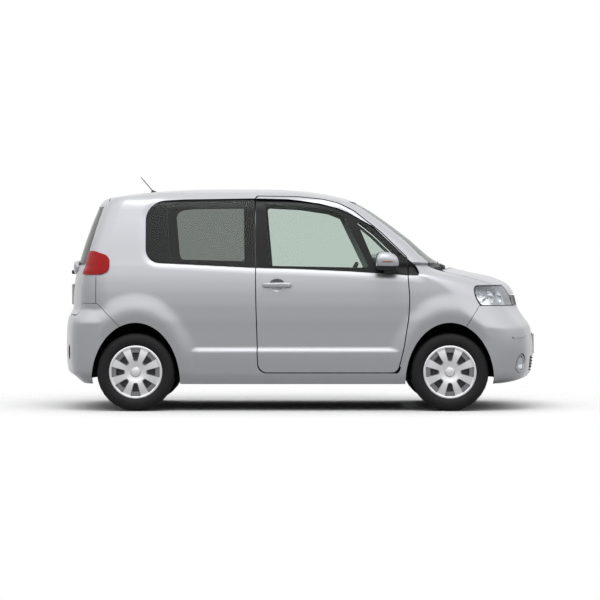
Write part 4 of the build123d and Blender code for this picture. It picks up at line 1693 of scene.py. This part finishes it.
class Lamps:
    """Headlamps, tail lamps, fog lamps and rear reflectors."""

    def __init__(self, shell: Shell) -> None:
        """Keep the shell whose tools give the lamp outlines."""
        self.shell = shell

    def pair(self, piece: bpy.types.Object, slot: str, *nodes: str) -> None:
        """Hand over a right piece and its left copy."""
        smooth(piece, 35.0, False)
        hold(mirrored(piece, piece.name.replace("right", "left")), "body", slot, *nodes)
        hold(piece, "body", slot, *nodes)

    def build(self) -> None:
        """Make all the lamps."""
        self.headlamp()
        self.tail()
        self.fog()

    def headlamp(self) -> None:
        """A clear lens over a housing with three bowls."""
        shell, made = self.shell, self.shell.tools.made
        glass = shell.layer("lens", *DEPTHS.lamp_lens)
        lens = cut(twin(glass, "headlamp_lens_right"), made["headlamp"], Cut.INTERSECT)
        cut(lens, made["front_bumper_gap"])
        drop(glass)
        self.pair(recolour(lens, LAMP_CLEAR), "lamp_lens", "headlamps")
        deep = shell.form.solid("form_deep", HOUSING, *DEPTHS.lamp_case, floor=CUT_FLOOR, fine=False)
        under = shell.form.inset("form_under", DARK, DEPTHS.lamp_rim)
        case = cut(cut(twin(made["headlamp"], "headlamp_case_right"), under, Cut.INTERSECT), deep)
        room = HEADLAMP.grown(-7).prism("tool_room", Axis.Y, -1000, -402, HOUSING)
        floor = shell.form.solid("form_floor", HOUSING, *DEPTHS.lamp_room, floor=CUT_FLOOR, fine=False)
        cut(room, floor)
        cut(case, room)
        cut(case, made["front_bumper_gap"])
        drop(room, floor, deep, under)
        bowls = []
        # Columns: place, radius, direction, bulb's finish
        for place, radius, way, bulb in (((1548, -520, 878), 50, (0.8, -0.6, 0.05), HOUSING),
                                         ((1468, -648, 876), 52, (0.6, -0.8, 0.05), AMBER),
                                         ((1412, -708, 888), 40, (0.3, -0.95, 0.05), HOUSING)):
            dish = [(radius, 14), (radius + 4, 14), (radius + 4, -6), (0, -30), (0, -24), (radius * 0.5, -16),
                    (radius * 0.85, 0)]
            bowls.append(turned("tool_bowl", dish, [CHROME], place, way, 36))
            stem = [(0, 4), (6, 1), (9, -6), (9, -22), (0, -22)]
            bowls.append(turned("tool_bulb", stem, [bulb], place, way, 20))
        self.pair(join(case, *bowls), "dark_plastic")

    def tail(self) -> None:
        """A red lens that stands slightly proud of the skin."""
        shell, made = self.shell, self.shell.tools.made
        proud = shell.form.solid("form_proud", RED, *DEPTHS.tail_lens, detail=True)
        inner = shell.form.solid("form_inner", DARK, *DEPTHS.tail_back, floor=CUT_FLOOR, fine=False)
        lens = cut(cut(twin(made["tail_lamp"], "tail_lens_right"), proud, Cut.INTERSECT), inner)
        cut(lens, made["right_half"], Cut.INTERSECT)
        cut(lens, made["tailgate_gap"])
        drop(proud, inner)
        self.pair(bevel(recolour(lens, RED), 0.014, 4, 50.0), "red_lens", "tail_lamps")

    def fog(self) -> None:
        """Round fog lamps in the front bumper and round reflectors in the rear one."""
        # Columns: name, place, direction, radius, finishes of bezel, dish and cap, slot
        rows = (("fog_lamp_right", (1718, -674, 370), (0.809, -0.588, 0), 73, PAINT, CHROME, LAMP_CLEAR,
                 "lamp_lens"),
                ("rear_reflector_right", (-1809, -533, 452), (-0.97, -0.243, 0), 56, DARK, RED, RED,
                 "red_lens"))
        for name, place, way, radius, rim, inside, front, slot in rows:
            ring = [(radius - 16, -2), (radius - 14, 3), (radius, 5), (radius + 1, -30), (0, -30), (0, -24),
                    (radius - 20, -20)]
            dish = [(0, -22), (radius * 0.5, -18), (radius - 18, -6), (radius - 17, -3), (radius - 15, -8),
                    (radius * 0.5, -23), (0, -24)]
            cap = [(0, 4), (radius * 0.35, 3), (radius - 17, -2), (radius - 17, -5), (0, -1)]
            bezel = turned(name, ring, [rim], place, way, 48)
            join(bezel, turned("tool_dish", dish, [inside], place, way, 48),
                 turned("tool_cap", cap, [front], place, way, 48))
            self.pair(bezel, slot)


class Trim:
    """Small fittings outside: bumper strips, plates, tailgate bar and wipers."""

    def __init__(self, shell: Shell) -> None:
        """Keep the shell whose form the fittings follow."""
        self.shell = shell

    def build(self) -> None:
        """Make all the fittings."""
        self.strips()
        self.plates()
        self.garnish()
        self.wipers()

    def strips(self) -> None:
        """A short painted strip on each corner of the front bumper."""
        proud = self.shell.form.solid("form_strip", PAINT, *DEPTHS.strip)
        strip = Outline([(1662, 566), (1664, 580), (1780, 586), (1780, 574)], 5).prism(
            "bumper_strip_right", Axis.Y, -900, -350, PAINT)
        cut(cut(strip, proud, Cut.INTERSECT), self.shell.bay)
        drop(proud)
        hold(fitting(mirrored(strip, "bumper_strip_left")), "body", "bumper_paint")
        hold(fitting(strip), "body", "bumper_paint")

    def plates(self) -> None:
        """Blank plates with a raised rim on both ends."""
        half_width, half_height, rim = 165, 82, 7
        for name, body, x, z, way in (("front_plate", "body", 1879.0, 510.0, 1.0),
                                      ("rear_plate", "tailgate_lid", -1832.0, 905.0, -1.0)):
            outer = rectangle((-half_width, z - half_height), (half_width, z + half_height), 10)
            low, high = sorted((x - 12 * way, x + 1 * way))
            plate = outer.prism(name, Axis.X, low, high, PLATE)
            low, high = sorted((x - 2 * way, x + 20 * way))
            inner = outer.grown(-rim).prism("tool_face", Axis.X, low, high, PLATE)
            cut(plate, inner)
            drop(inner)
            hold(fitting(bevel(plate, 0.0015, 2)), body, "dark_plastic")

    def garnish(self) -> None:
        """The bar over the rear plate with its handle."""
        # Columns: y, half height, half depth
        rings = [((-1790 - 8 + y * y / 4000.0, y, 1118), (deep, 0, 0), (0, 0, high))
                 for y, high, deep in ((-330, 4, 4), (-326, 22, 12), (-300, 40, 22), (-200, 52, 28),
                                       (0, 58, 31), (200, 52, 28), (300, 40, 22), (326, 22, 12), (330, 4, 4))]
        bar = loft("tailgate_bar", rings, [PAINT], 36, 3.0)
        # Columns: x, y, half depth, half height
        rings = [((x, y, 1082), (deep, 0, 0), (0, 0, high))
                 for x, y, deep, high in ((-1828, -120, 6, 8), (-1830, -110, 10, 16), (-1830, 110, 10, 16),
                                          (-1828, 120, 6, 8))]
        grip = loft("tool_grip", rings, [DARK], 24, 3.0)
        hold(fitting(join(bar, grip)), "tailgate_lid", "silver_paint")

    def wipers(self) -> None:
        """Two front wipers parked along the foot of the windscreen."""
        hub_profile = [(0, 12), (12, 10), (16, 0), (16, -14), (0, -14)]
        # Columns: name, pivot, elbow, tip
        for name, *places in (("wiper_right", (1118, -420, 1128), (1100, -200, 1150), (1122, 120, 1165)),
                              ("wiper_left", (1150, 150, 1134), (1128, 330, 1150), (1050, 590, 1160))):
            start, elbow, end = [np.array(place, float) for place in places]
            rings = []
            for share in np.linspace(0, 1, 14):
                rest = 1 - share
                spot = start * rest ** 2 + 2 * elbow * share * rest + end * share ** 2
                thick = 9.0 - 4.0 * share
                rings.append((tuple(spot), (thick, 0, thick * 0.3), (0, 0, thick)))
            arm = loft(name, rings, [DARK], 16, 2.4)
            hub = turned("tool_hub", hub_profile, [DARK], places[0], (0.3, 0, 0.95), 24)
            hold(fitting(join(arm, hub)), "body", "dark_plastic")


@dataclass
class Mirror:
    """A door mirror: painted cap, dark foot, amber strip and silvered glass."""

    side: Side
    body: str
    centre: tuple[float, float, float] = (676.0, -905.0, 1168.0)

    def build(self) -> None:
        """Make the mirror."""
        x0, y0, z0 = self.centre
        # Columns: x, half width, half height, z, from the centre
        table = ((87, 14, 10, -22), (84, 34, 26, -20), (74, 52, 43, -15), (54, 66, 57, -9), (24, 75, 66, -4),
                 (-10, 79, 70, -1), (-42, 80, 71, 0), (-66, 77, 67, -1), (-80, 70, 58, -3), (-86, 62, 50, -5),
                 (-86.5, 57, 45, -6), (-74, 56, 44, -6))
        finishes = [PAINT, DARK, AMBER, CHROME]
        cap = loft("mirror_cap_" + self.side.label,
                   [((x0 + dx, y0, z0 + dz), (0, hy, 0), (0, 0, hz)) for dx, hy, hz, dz in table],
                   finishes, 112, 2.5)
        glass_x = x0 + table[-1][0]
        for face in cap.data.polygons:
            x, z = face.center.x / MM, face.center.z / MM
            if x < x0 - 84 or z < z0 - 40:
                face.material_index = finishes.index(DARK)
            if abs(x - glass_x) < 2 and abs(face.normal.x) > 0.9:
                face.material_index = finishes.index(CHROME)
        # Columns: x, y, z, half length, half height
        foot = loft("tool_foot", [((x0 + dx, y, z0 + dz), (hx, 0, 0), (0, 0, hz)) for dx, y, dz, hx, hz in (
            (18, -880, -62, 44, 20), (22, -850, -70, 46, 22), (26, -820, -78, 50, 26),
            (28, -796, -82, 56, 30))], [DARK], 36, 3.0)
        # Columns: x, how far out, half height
        strip = [((x0 + dx, y0 - hy + 2, z0 - 8), (0, 4.0, 0), (0, 0, high)) for dx, hy, high in (
            (-46, 80, 1), (-44, 80, 4), (-10, 79, 5), (20, 76, 5), (36, 72, 4), (38, 71.5, 1))]
        join(cap, foot, loft("tool_strip", strip, [AMBER], 16, 3.0))
        if self.side is Side.LEFT:
            flip_side(cap)
        hold(fitting(cap), self.body, "silver_paint", "mirror_" + self.side.label)


@dataclass
class Handle:
    """A door handle bar that bridges a round bowl."""

    side: Side
    body: str
    centre: tuple[float, float, float] = (HANDLE_X, -846.0, HANDLE_Z)

    def build(self) -> None:
        """Make the bar with its two feet and the lock."""
        x0, y0, z0 = self.centre
        rear_foot, front_foot = -90, 88
        # Columns: x, half depth, half height, from the centre
        table = ((-115, 2, 5), (-112, 5, 11), (-100, 8, 16), (-70, 9, 18), (0, 9, 19), (60, 9, 19),
                 (92, 9, 18), (108, 7, 13), (114, 3, 6))
        bar = loft("handle_bar_" + self.side.label,
                   [((x0 + dx, y0 - 3 + abs(dx) * 0.03, z0), (0, hy, 0), (0, 0, hz)) for dx, hy, hz in table],
                   [PAINT], 28, 2.8)
        feet = [loft("tool_foot", [((x0 + dx, y0 + 20, z0), (16, 0, 0), (0, 0, 12)),
                                   ((x0 + dx, y0, z0), (18, 0, 0), (0, 0, 14))], [PAINT], 20, 3.0)
                for dx in (rear_foot, front_foot)]
        lock = turned("tool_lock", [(0, 3), (8, 3), (10, 1), (10, -6), (0, -6)], [STEEL],
                      (x0 + front_foot, y0 - 9, z0), (0, -1, 0), 24)
        join(bar, *feet, lock)
        if self.side is Side.LEFT:
            flip_side(bar)
        hold(fitting(bar), self.body, "silver_paint", "door_handle_" + self.side.label)


@dataclass
class RoofAerial:
    """The short roof aerial."""

    foot: tuple[float, float, float] = (-1192.0, 0.0, 1736.0)
    tip: tuple[float, float, float] = (-1288.0, 0.0, 1849.0)

    def build(self) -> None:
        """Make the foot and the rod."""
        # Columns: x, z, half length, half width
        base = loft("aerial_mast", [((x, 0, z), (hx, 0, 0), (0, hy, 0)) for x, z, hx, hy in (
            (-1180, 1714, 34, 26), (-1182, 1728, 28, 20), (-1188, 1738, 17, 12), (-1196, 1744, 8, 7))],
            [DARK], 28, 2.2)
        low, high = np.array(self.foot), np.array(self.tip)
        way = (high - low) / np.linalg.norm(high - low)
        rings = []
        # Columns: share of the way up, radius
        for share, radius in ((0, 6), (0.08, 5.5), (0.1, 4), (0.6, 3.6), (0.95, 3.2), (0.96, 4.2),
                              (1.0, 3.4)):
            spot = low + (high - low) * share
            rings.append((tuple(spot), (radius * way[2], 0, -radius * way[0]), (0, radius, 0)))
        join(base, loft("tool_rod", rings, [DARK], 16, 2.0))
        hold(fitting(base), "body", "dark_plastic", "aerial")
@dataclass
class Cushion:
    """A crowned, seamed pad."""

    name: str
    size: tuple[float, float, float]
    place: tuple[float, float, float]
    tilt: float = 0.0
    channels: int = 4
    side_pull: float = 0.05
    crown: float = 0.10
    seam_height: float = 0.35
    seam_depth: float = 0.03
    groove_depth: float = 0.10

    def build(self) -> bpy.types.Object:
        """Make the pad as a closed rounded form with sewn channels and a seam round its edge.

        Returns:
            The pad.
        """
        work = bmesh.new()
        bmesh.ops.create_cube(work, size=2.0)
        bmesh.ops.subdivide_edges(work, edges=work.edges[:], cuts=17, use_grid_fill=True)
        a, b, c = [s / 2 for s in self.size]
        for vert in work.verts:
            p = np.array(vert.co)
            q = p * np.sqrt(np.maximum(1.0 - 0.16 * (np.roll(p, 1) ** 2 + np.roll(p, -1) ** 2), 0.3))
            q /= 0.82
            q = np.clip(q, -1.0, 1.0) * (1.0 - 0.02 * np.roll(p, 1) ** 2)
            pull = 1.0 - self.side_pull * (1 - q[1] ** 2) * abs(p[0]) ** 4
            crown = 1.0 + self.crown * (1 - q[0] ** 2) * (1 - q[1] ** 2)
            x, y, z = q[0] * pull, q[1], q[2] * crown / (1.0 + self.crown)
            seam = math.exp(-((q[2] - self.seam_height) / 0.09) ** 2) * max(abs(q[0]), abs(q[1])) ** 8
            groove = 0.0
            if q[2] > 0.5 and self.channels:
                cell = (q[1] * 0.5 + 0.5) * self.channels
                groove = math.exp(-((cell - round(cell)) / 0.06) ** 2) * (1 - abs(q[0]) ** 6)
            sewn = 1 - self.seam_depth * seam
            vert.co = (a * x * sewn, b * y * sewn, c * (z - self.groove_depth * groove))
        mesh = bpy.data.meshes.new(self.name)
        work.to_mesh(mesh)
        work.free()
        made = bpy.data.objects.new(self.name, mesh)
        bpy.context.scene.collection.objects.link(made)
        mesh.materials.append(CLOTH.build())
        mesh.transform(Matrix.Scale(MM, 4))
        mesh.transform(Matrix.Rotation(math.radians(self.tilt), 4, "Y"))
        mesh.transform(Matrix.Translation([v * MM for v in self.place]))
        return smooth(made, 60.0, False)


class Cabin:
    """Seats and dashboard."""

    def build(self) -> None:
        """Make the front seats, the bench and the dashboard."""
        for side in Side:
            self.front_seat(side)
        pad = Cushion("bench_pad", (446, 1250, 150), (-555, 0, 462), -3.0, 6).build()
        rest = Cushion("bench_back", (110, 1250, 500), (-815, 0, 765), -19.0, 0).build()
        for piece in (pad, rest):
            hold(piece, "body", "seat_fabric", "rear_bench")
        plinth = rectangle((-760, -600), (-350, 600), 30).prism("bench_base", Axis.Z, 287, 400, TRIM)
        hold(fitting(bevel(plinth, 0.012)), "body", "interior_plastic", "rear_bench")
        dash = Outline([(830, 705), (830, 985), (760, 998), (660, 996), (590, 960), (568, 890), (590, 790),
                        (640, 705)], [10, 30, 60, 60, 60, 60, 60, 30])
        top = dash.prism("dash_top", Axis.Y, -618, 618, TRIM)
        hold(fitting(bevel(top, 0.015)), "body", "interior_plastic", "dashboard")

    def front_seat(self, side: Side) -> None:
        """Make one front seat.

        Args:
            side: The side it is on.
        """
        y = side.value * 405
        seat = Cushion("seat_pad_" + side.label, (486, 440, 126), (145, y, 494), -4.0).build()
        back = Cushion("seat_back_" + side.label, (96, 440, 520), (-150, y, 770), -25.0, 0).build()
        base = rectangle((-40, y - 150), (300, y + 150), 30).prism(
            "seat_base_" + side.label, Axis.Z, 287, 436, TRIM)
        for piece in (seat, back):
            hold(piece, "body", "seat_fabric", "seat_" + side.label)
        hold(fitting(bevel(base, 0.012)), "body", "interior_plastic", "seat_" + side.label)


class Chassis:
    """The CAD nodes that stay, with better finishes, the door's pins and the kick panels."""

    finishes = {"floor_pan": UNDER, "wheel_houses_rear": UNDER, "wheel_houses_front": UNDER,
                "front_frame": UNDER, "bonnet_buffers": RUBBER, "engine": CAST, "front_axle": UNDER,
                "rear_axle": UNDER, "steering_wheel": TRIM, "bonnet_hinges": STEEL, "tailgate_pins": STEEL,
                "knuckle_right": CAST, "knuckle_left": CAST}

    def build(self, shell: Shell) -> None:
        """Dress the nodes that stay and add the small pieces."""
        self.dress()
        self.pins()
        self.kick_panels(shell)

    def dress(self) -> None:
        """Put the finishes on the nodes' material slots."""
        for node, finish in self.finishes.items():
            obj = frame["nodes"][node]
            if isinstance(obj, str):
                obj = bpy.data.objects[obj]
            for piece in [obj, *obj.children]:
                if piece.type == "MESH":
                    recolour(piece, finish)

    def pins(self) -> None:
        """The two door hinge pins, with a collar each."""
        way = Vector((35.0, 22.0, 913.0)).normalized()
        low = Vector((735.0, -785.0, 302.0))
        made = []
        # Columns: name, height of the middle, half length
        for name, centre, half in (("door_hinge_pins", 298.0, 44.0), ("tool_pin", 1222.0, 17.0)):
            place = low + way * ((centre - low.z) / way.z)
            profile = [(0, half), (5, half), (6, half - 1), (6, 8), (10, 7), (10, -7), (6, -8), (6, 1 - half),
                       (5, -half), (0, -half)]
            made.append(turned(name, profile, [RUBBER], place, way, 20))
        hold(fitting(join(*made)), "body", "hinge_steel", "door_pins")

    def kick_panels(self, shell: Shell) -> None:
        """Close both sides of the footwell, clear of the door's edge and of the steered tyres.

        Args:
            shell: The body shell, for the inside of its walls.
        """
        path = [(680, 238), (822, 238), (830, 480), (861, 640), (862, 1060), (854, 1060), (853, 640),
                (822, 480), (814, 252), (680, 252)]
        panel = Outline(path, 0.0).prism("kick_panel_right", Axis.Y, -830, -600, TRIM)
        room = shell.form.inset("form_kick", TRIM, DEPTHS.kick_panel, fine=False)
        cut(panel, room, Cut.INTERSECT)
        drop(room)
        hold(mirrored(panel, "kick_panel_left"), "body", "underbody")
        hold(panel, "body", "underbody")


@dataclass
class Studio:
    """Floor, light and camera, in metres and watts."""

    distance: float = 18.84
    eye: float = 1.05
    lens: float = 139.35
    sensor: float = 36.0
    shift: float = -0.04
    far_clip: float = 200.0
    floor_half: Point = (4.2, 3.4)
    floor_fade: Point = (0.26, 0.36)
    floor_fade_gain: float = 1.5
    floor_soft: Tone = grey(0.06)
    floor_seen: Tone = grey(0.74)
    ground: Tone = rgb(0.04, 0.04, 0.045)
    horizon: Tone = rgb(0.20, 0.205, 0.215)
    zenith: Tone = grey(1.38)
    wall: Tone = grey(1.0)
    soft_box: Tone = grey(2.6)
    glass_passes: int = 12

    def build(self) -> None:
        """Make the floor, the world, the lights and the camera."""
        self.floor()
        self.sky()
        self.area("key_light", (0.3, -4.2, 7.5), (0, 0, 0.8), 4.5, 215.0)
        self.area("top_light", (0.0, 0.0, 8.0), (0, 0, 0), 8.0, 30.0)
        self.camera()
        bpy.context.scene.view_settings.view_transform = "Standard"
        bpy.context.scene.cycles.min_transparent_bounces = self.glass_passes

    def floor(self) -> None:
        """A floor that fades out at its edges."""
        a, b = self.floor_half
        floor = new_object("studio_floor", [(-a, -b, 0), (a, -b, 0), (a, b, 0), (-a, b, 0)], [(0, 1, 2, 3)])
        sheet = bpy.data.materials.new("studio_floor")
        sheet.use_nodes = True
        graph = Graph(sheet.node_tree)
        tone = graph.blend(self.seen(graph), self.floor_soft, self.floor_seen)
        spot = graph.node("ShaderNodeSeparateXYZ", {}, {"Vector": graph.place()})
        along, across = spot["X"] * self.floor_fade[0], spot["Y"] * self.floor_fade[1]
        edge = (1.0 - (along * along + across * across)) * self.floor_fade_gain
        pale = graph.node("ShaderNodeBsdfPrincipled", {}, {
            "Base Color": tone, "Roughness": 0.9, "Specular IOR Level": 0.0, "Alpha": edge.clamp()})
        graph.node("ShaderNodeOutputMaterial", {}, {"Surface": pale["BSDF"]})
        floor.data.materials.append(sheet)

    def sky(self) -> None:
        """Soft light from above, and a pale studio with a soft box on the camera's side."""
        world = bpy.data.worlds.new("studio_sky")
        bpy.context.scene.world = world
        world.use_nodes = True
        graph = Graph(world.node_tree)
        way = graph.node("ShaderNodeTexCoord")["Generated"]
        axes = graph.node("ShaderNodeSeparateXYZ", {}, {"Vector": way})
        up, left = axes["Z"], axes["Y"]
        low = graph.blend((up * 4.0 + 0.4).clamp(), self.ground, self.horizon)
        shade = graph.blend(((up - 0.2) * 2.2).clamp(), low, self.zenith)
        box = ((up - 0.125) * 7.0).clamp() * (left * -0.65 + 0.8).clamp()
        studio = graph.blend(box, self.wall, self.soft_box)
        tone = graph.blend(self.seen(graph), shade, studio)
        sky = graph.node("ShaderNodeBackground", {}, {"Color": tone, "Strength": 1.0})
        graph.node("ShaderNodeOutputWorld", {}, {"Surface": sky["Background"]})

    def camera(self) -> None:
        """The camera that stands where the photo was taken from."""
        camera = bpy.data.objects.new("photo_camera", bpy.data.cameras.new("photo_camera"))
        bpy.context.scene.collection.objects.link(camera)
        camera.location = (0.0, -self.distance, self.eye)
        camera.rotation_euler = (math.pi / 2, 0.0, 0.0)
        camera.data.lens = self.lens
        camera.data.sensor_width = self.sensor
        camera.data.shift_y = self.shift
        camera.data.clip_end = self.far_clip
        bpy.context.scene.camera = camera

    def seen(self, graph: Graph) -> Sock:
        """Whether a ray shows the studio itself, straight, in gloss or through glass."""
        path = graph.node("ShaderNodeLightPath")
        return (path["Is Camera Ray"] + path["Is Glossy Ray"] + path["Is Transmission Ray"]).clamp()

    def area(self, name: str, place: Sequence[float], aim: Sequence[float], size: float,
             power: float) -> None:
        """Add one soft area light.

        Args:
            name: Light name.
            place: Its place.
            aim: The point it looks at.
            size: Edge length.
            power: Power in watts.
        """
        data = bpy.data.lights.new(name, "AREA")
        data.size = size
        data.energy = power
        lamp = bpy.data.objects.new(name, data)
        bpy.context.scene.collection.objects.link(lamp)
        lamp.location = place
        lamp.rotation_euler = (Vector(aim) - Vector(place)).to_track_quat("-Z", "Y").to_euler()


def main() -> None:
    """Build the whole scene."""
    logging.basicConfig(level=logging.INFO)
    shell = Shell()
    shell.build()
    shell.glass()
    Lamps(shell).build()
    Trim(shell).build()
    shell.finish()
    for side, body in ((Side.RIGHT, "driver_door"), (Side.LEFT, "body")):
        Mirror(side, body).build()
        Handle(side, body).build()
    RoofAerial().build()
    Cabin().build()
    for end, side, body in (("front", Side.RIGHT, "wheel_fr"), ("front", Side.LEFT, "wheel_fl"),
                            ("rear", Side.RIGHT, "wheel_rr"), ("rear", Side.LEFT, "wheel_rl")):
        Wheel(end, side, body).build()
    Chassis().build(shell)
    Studio().build()


if __name__ == "__main__":
    main()
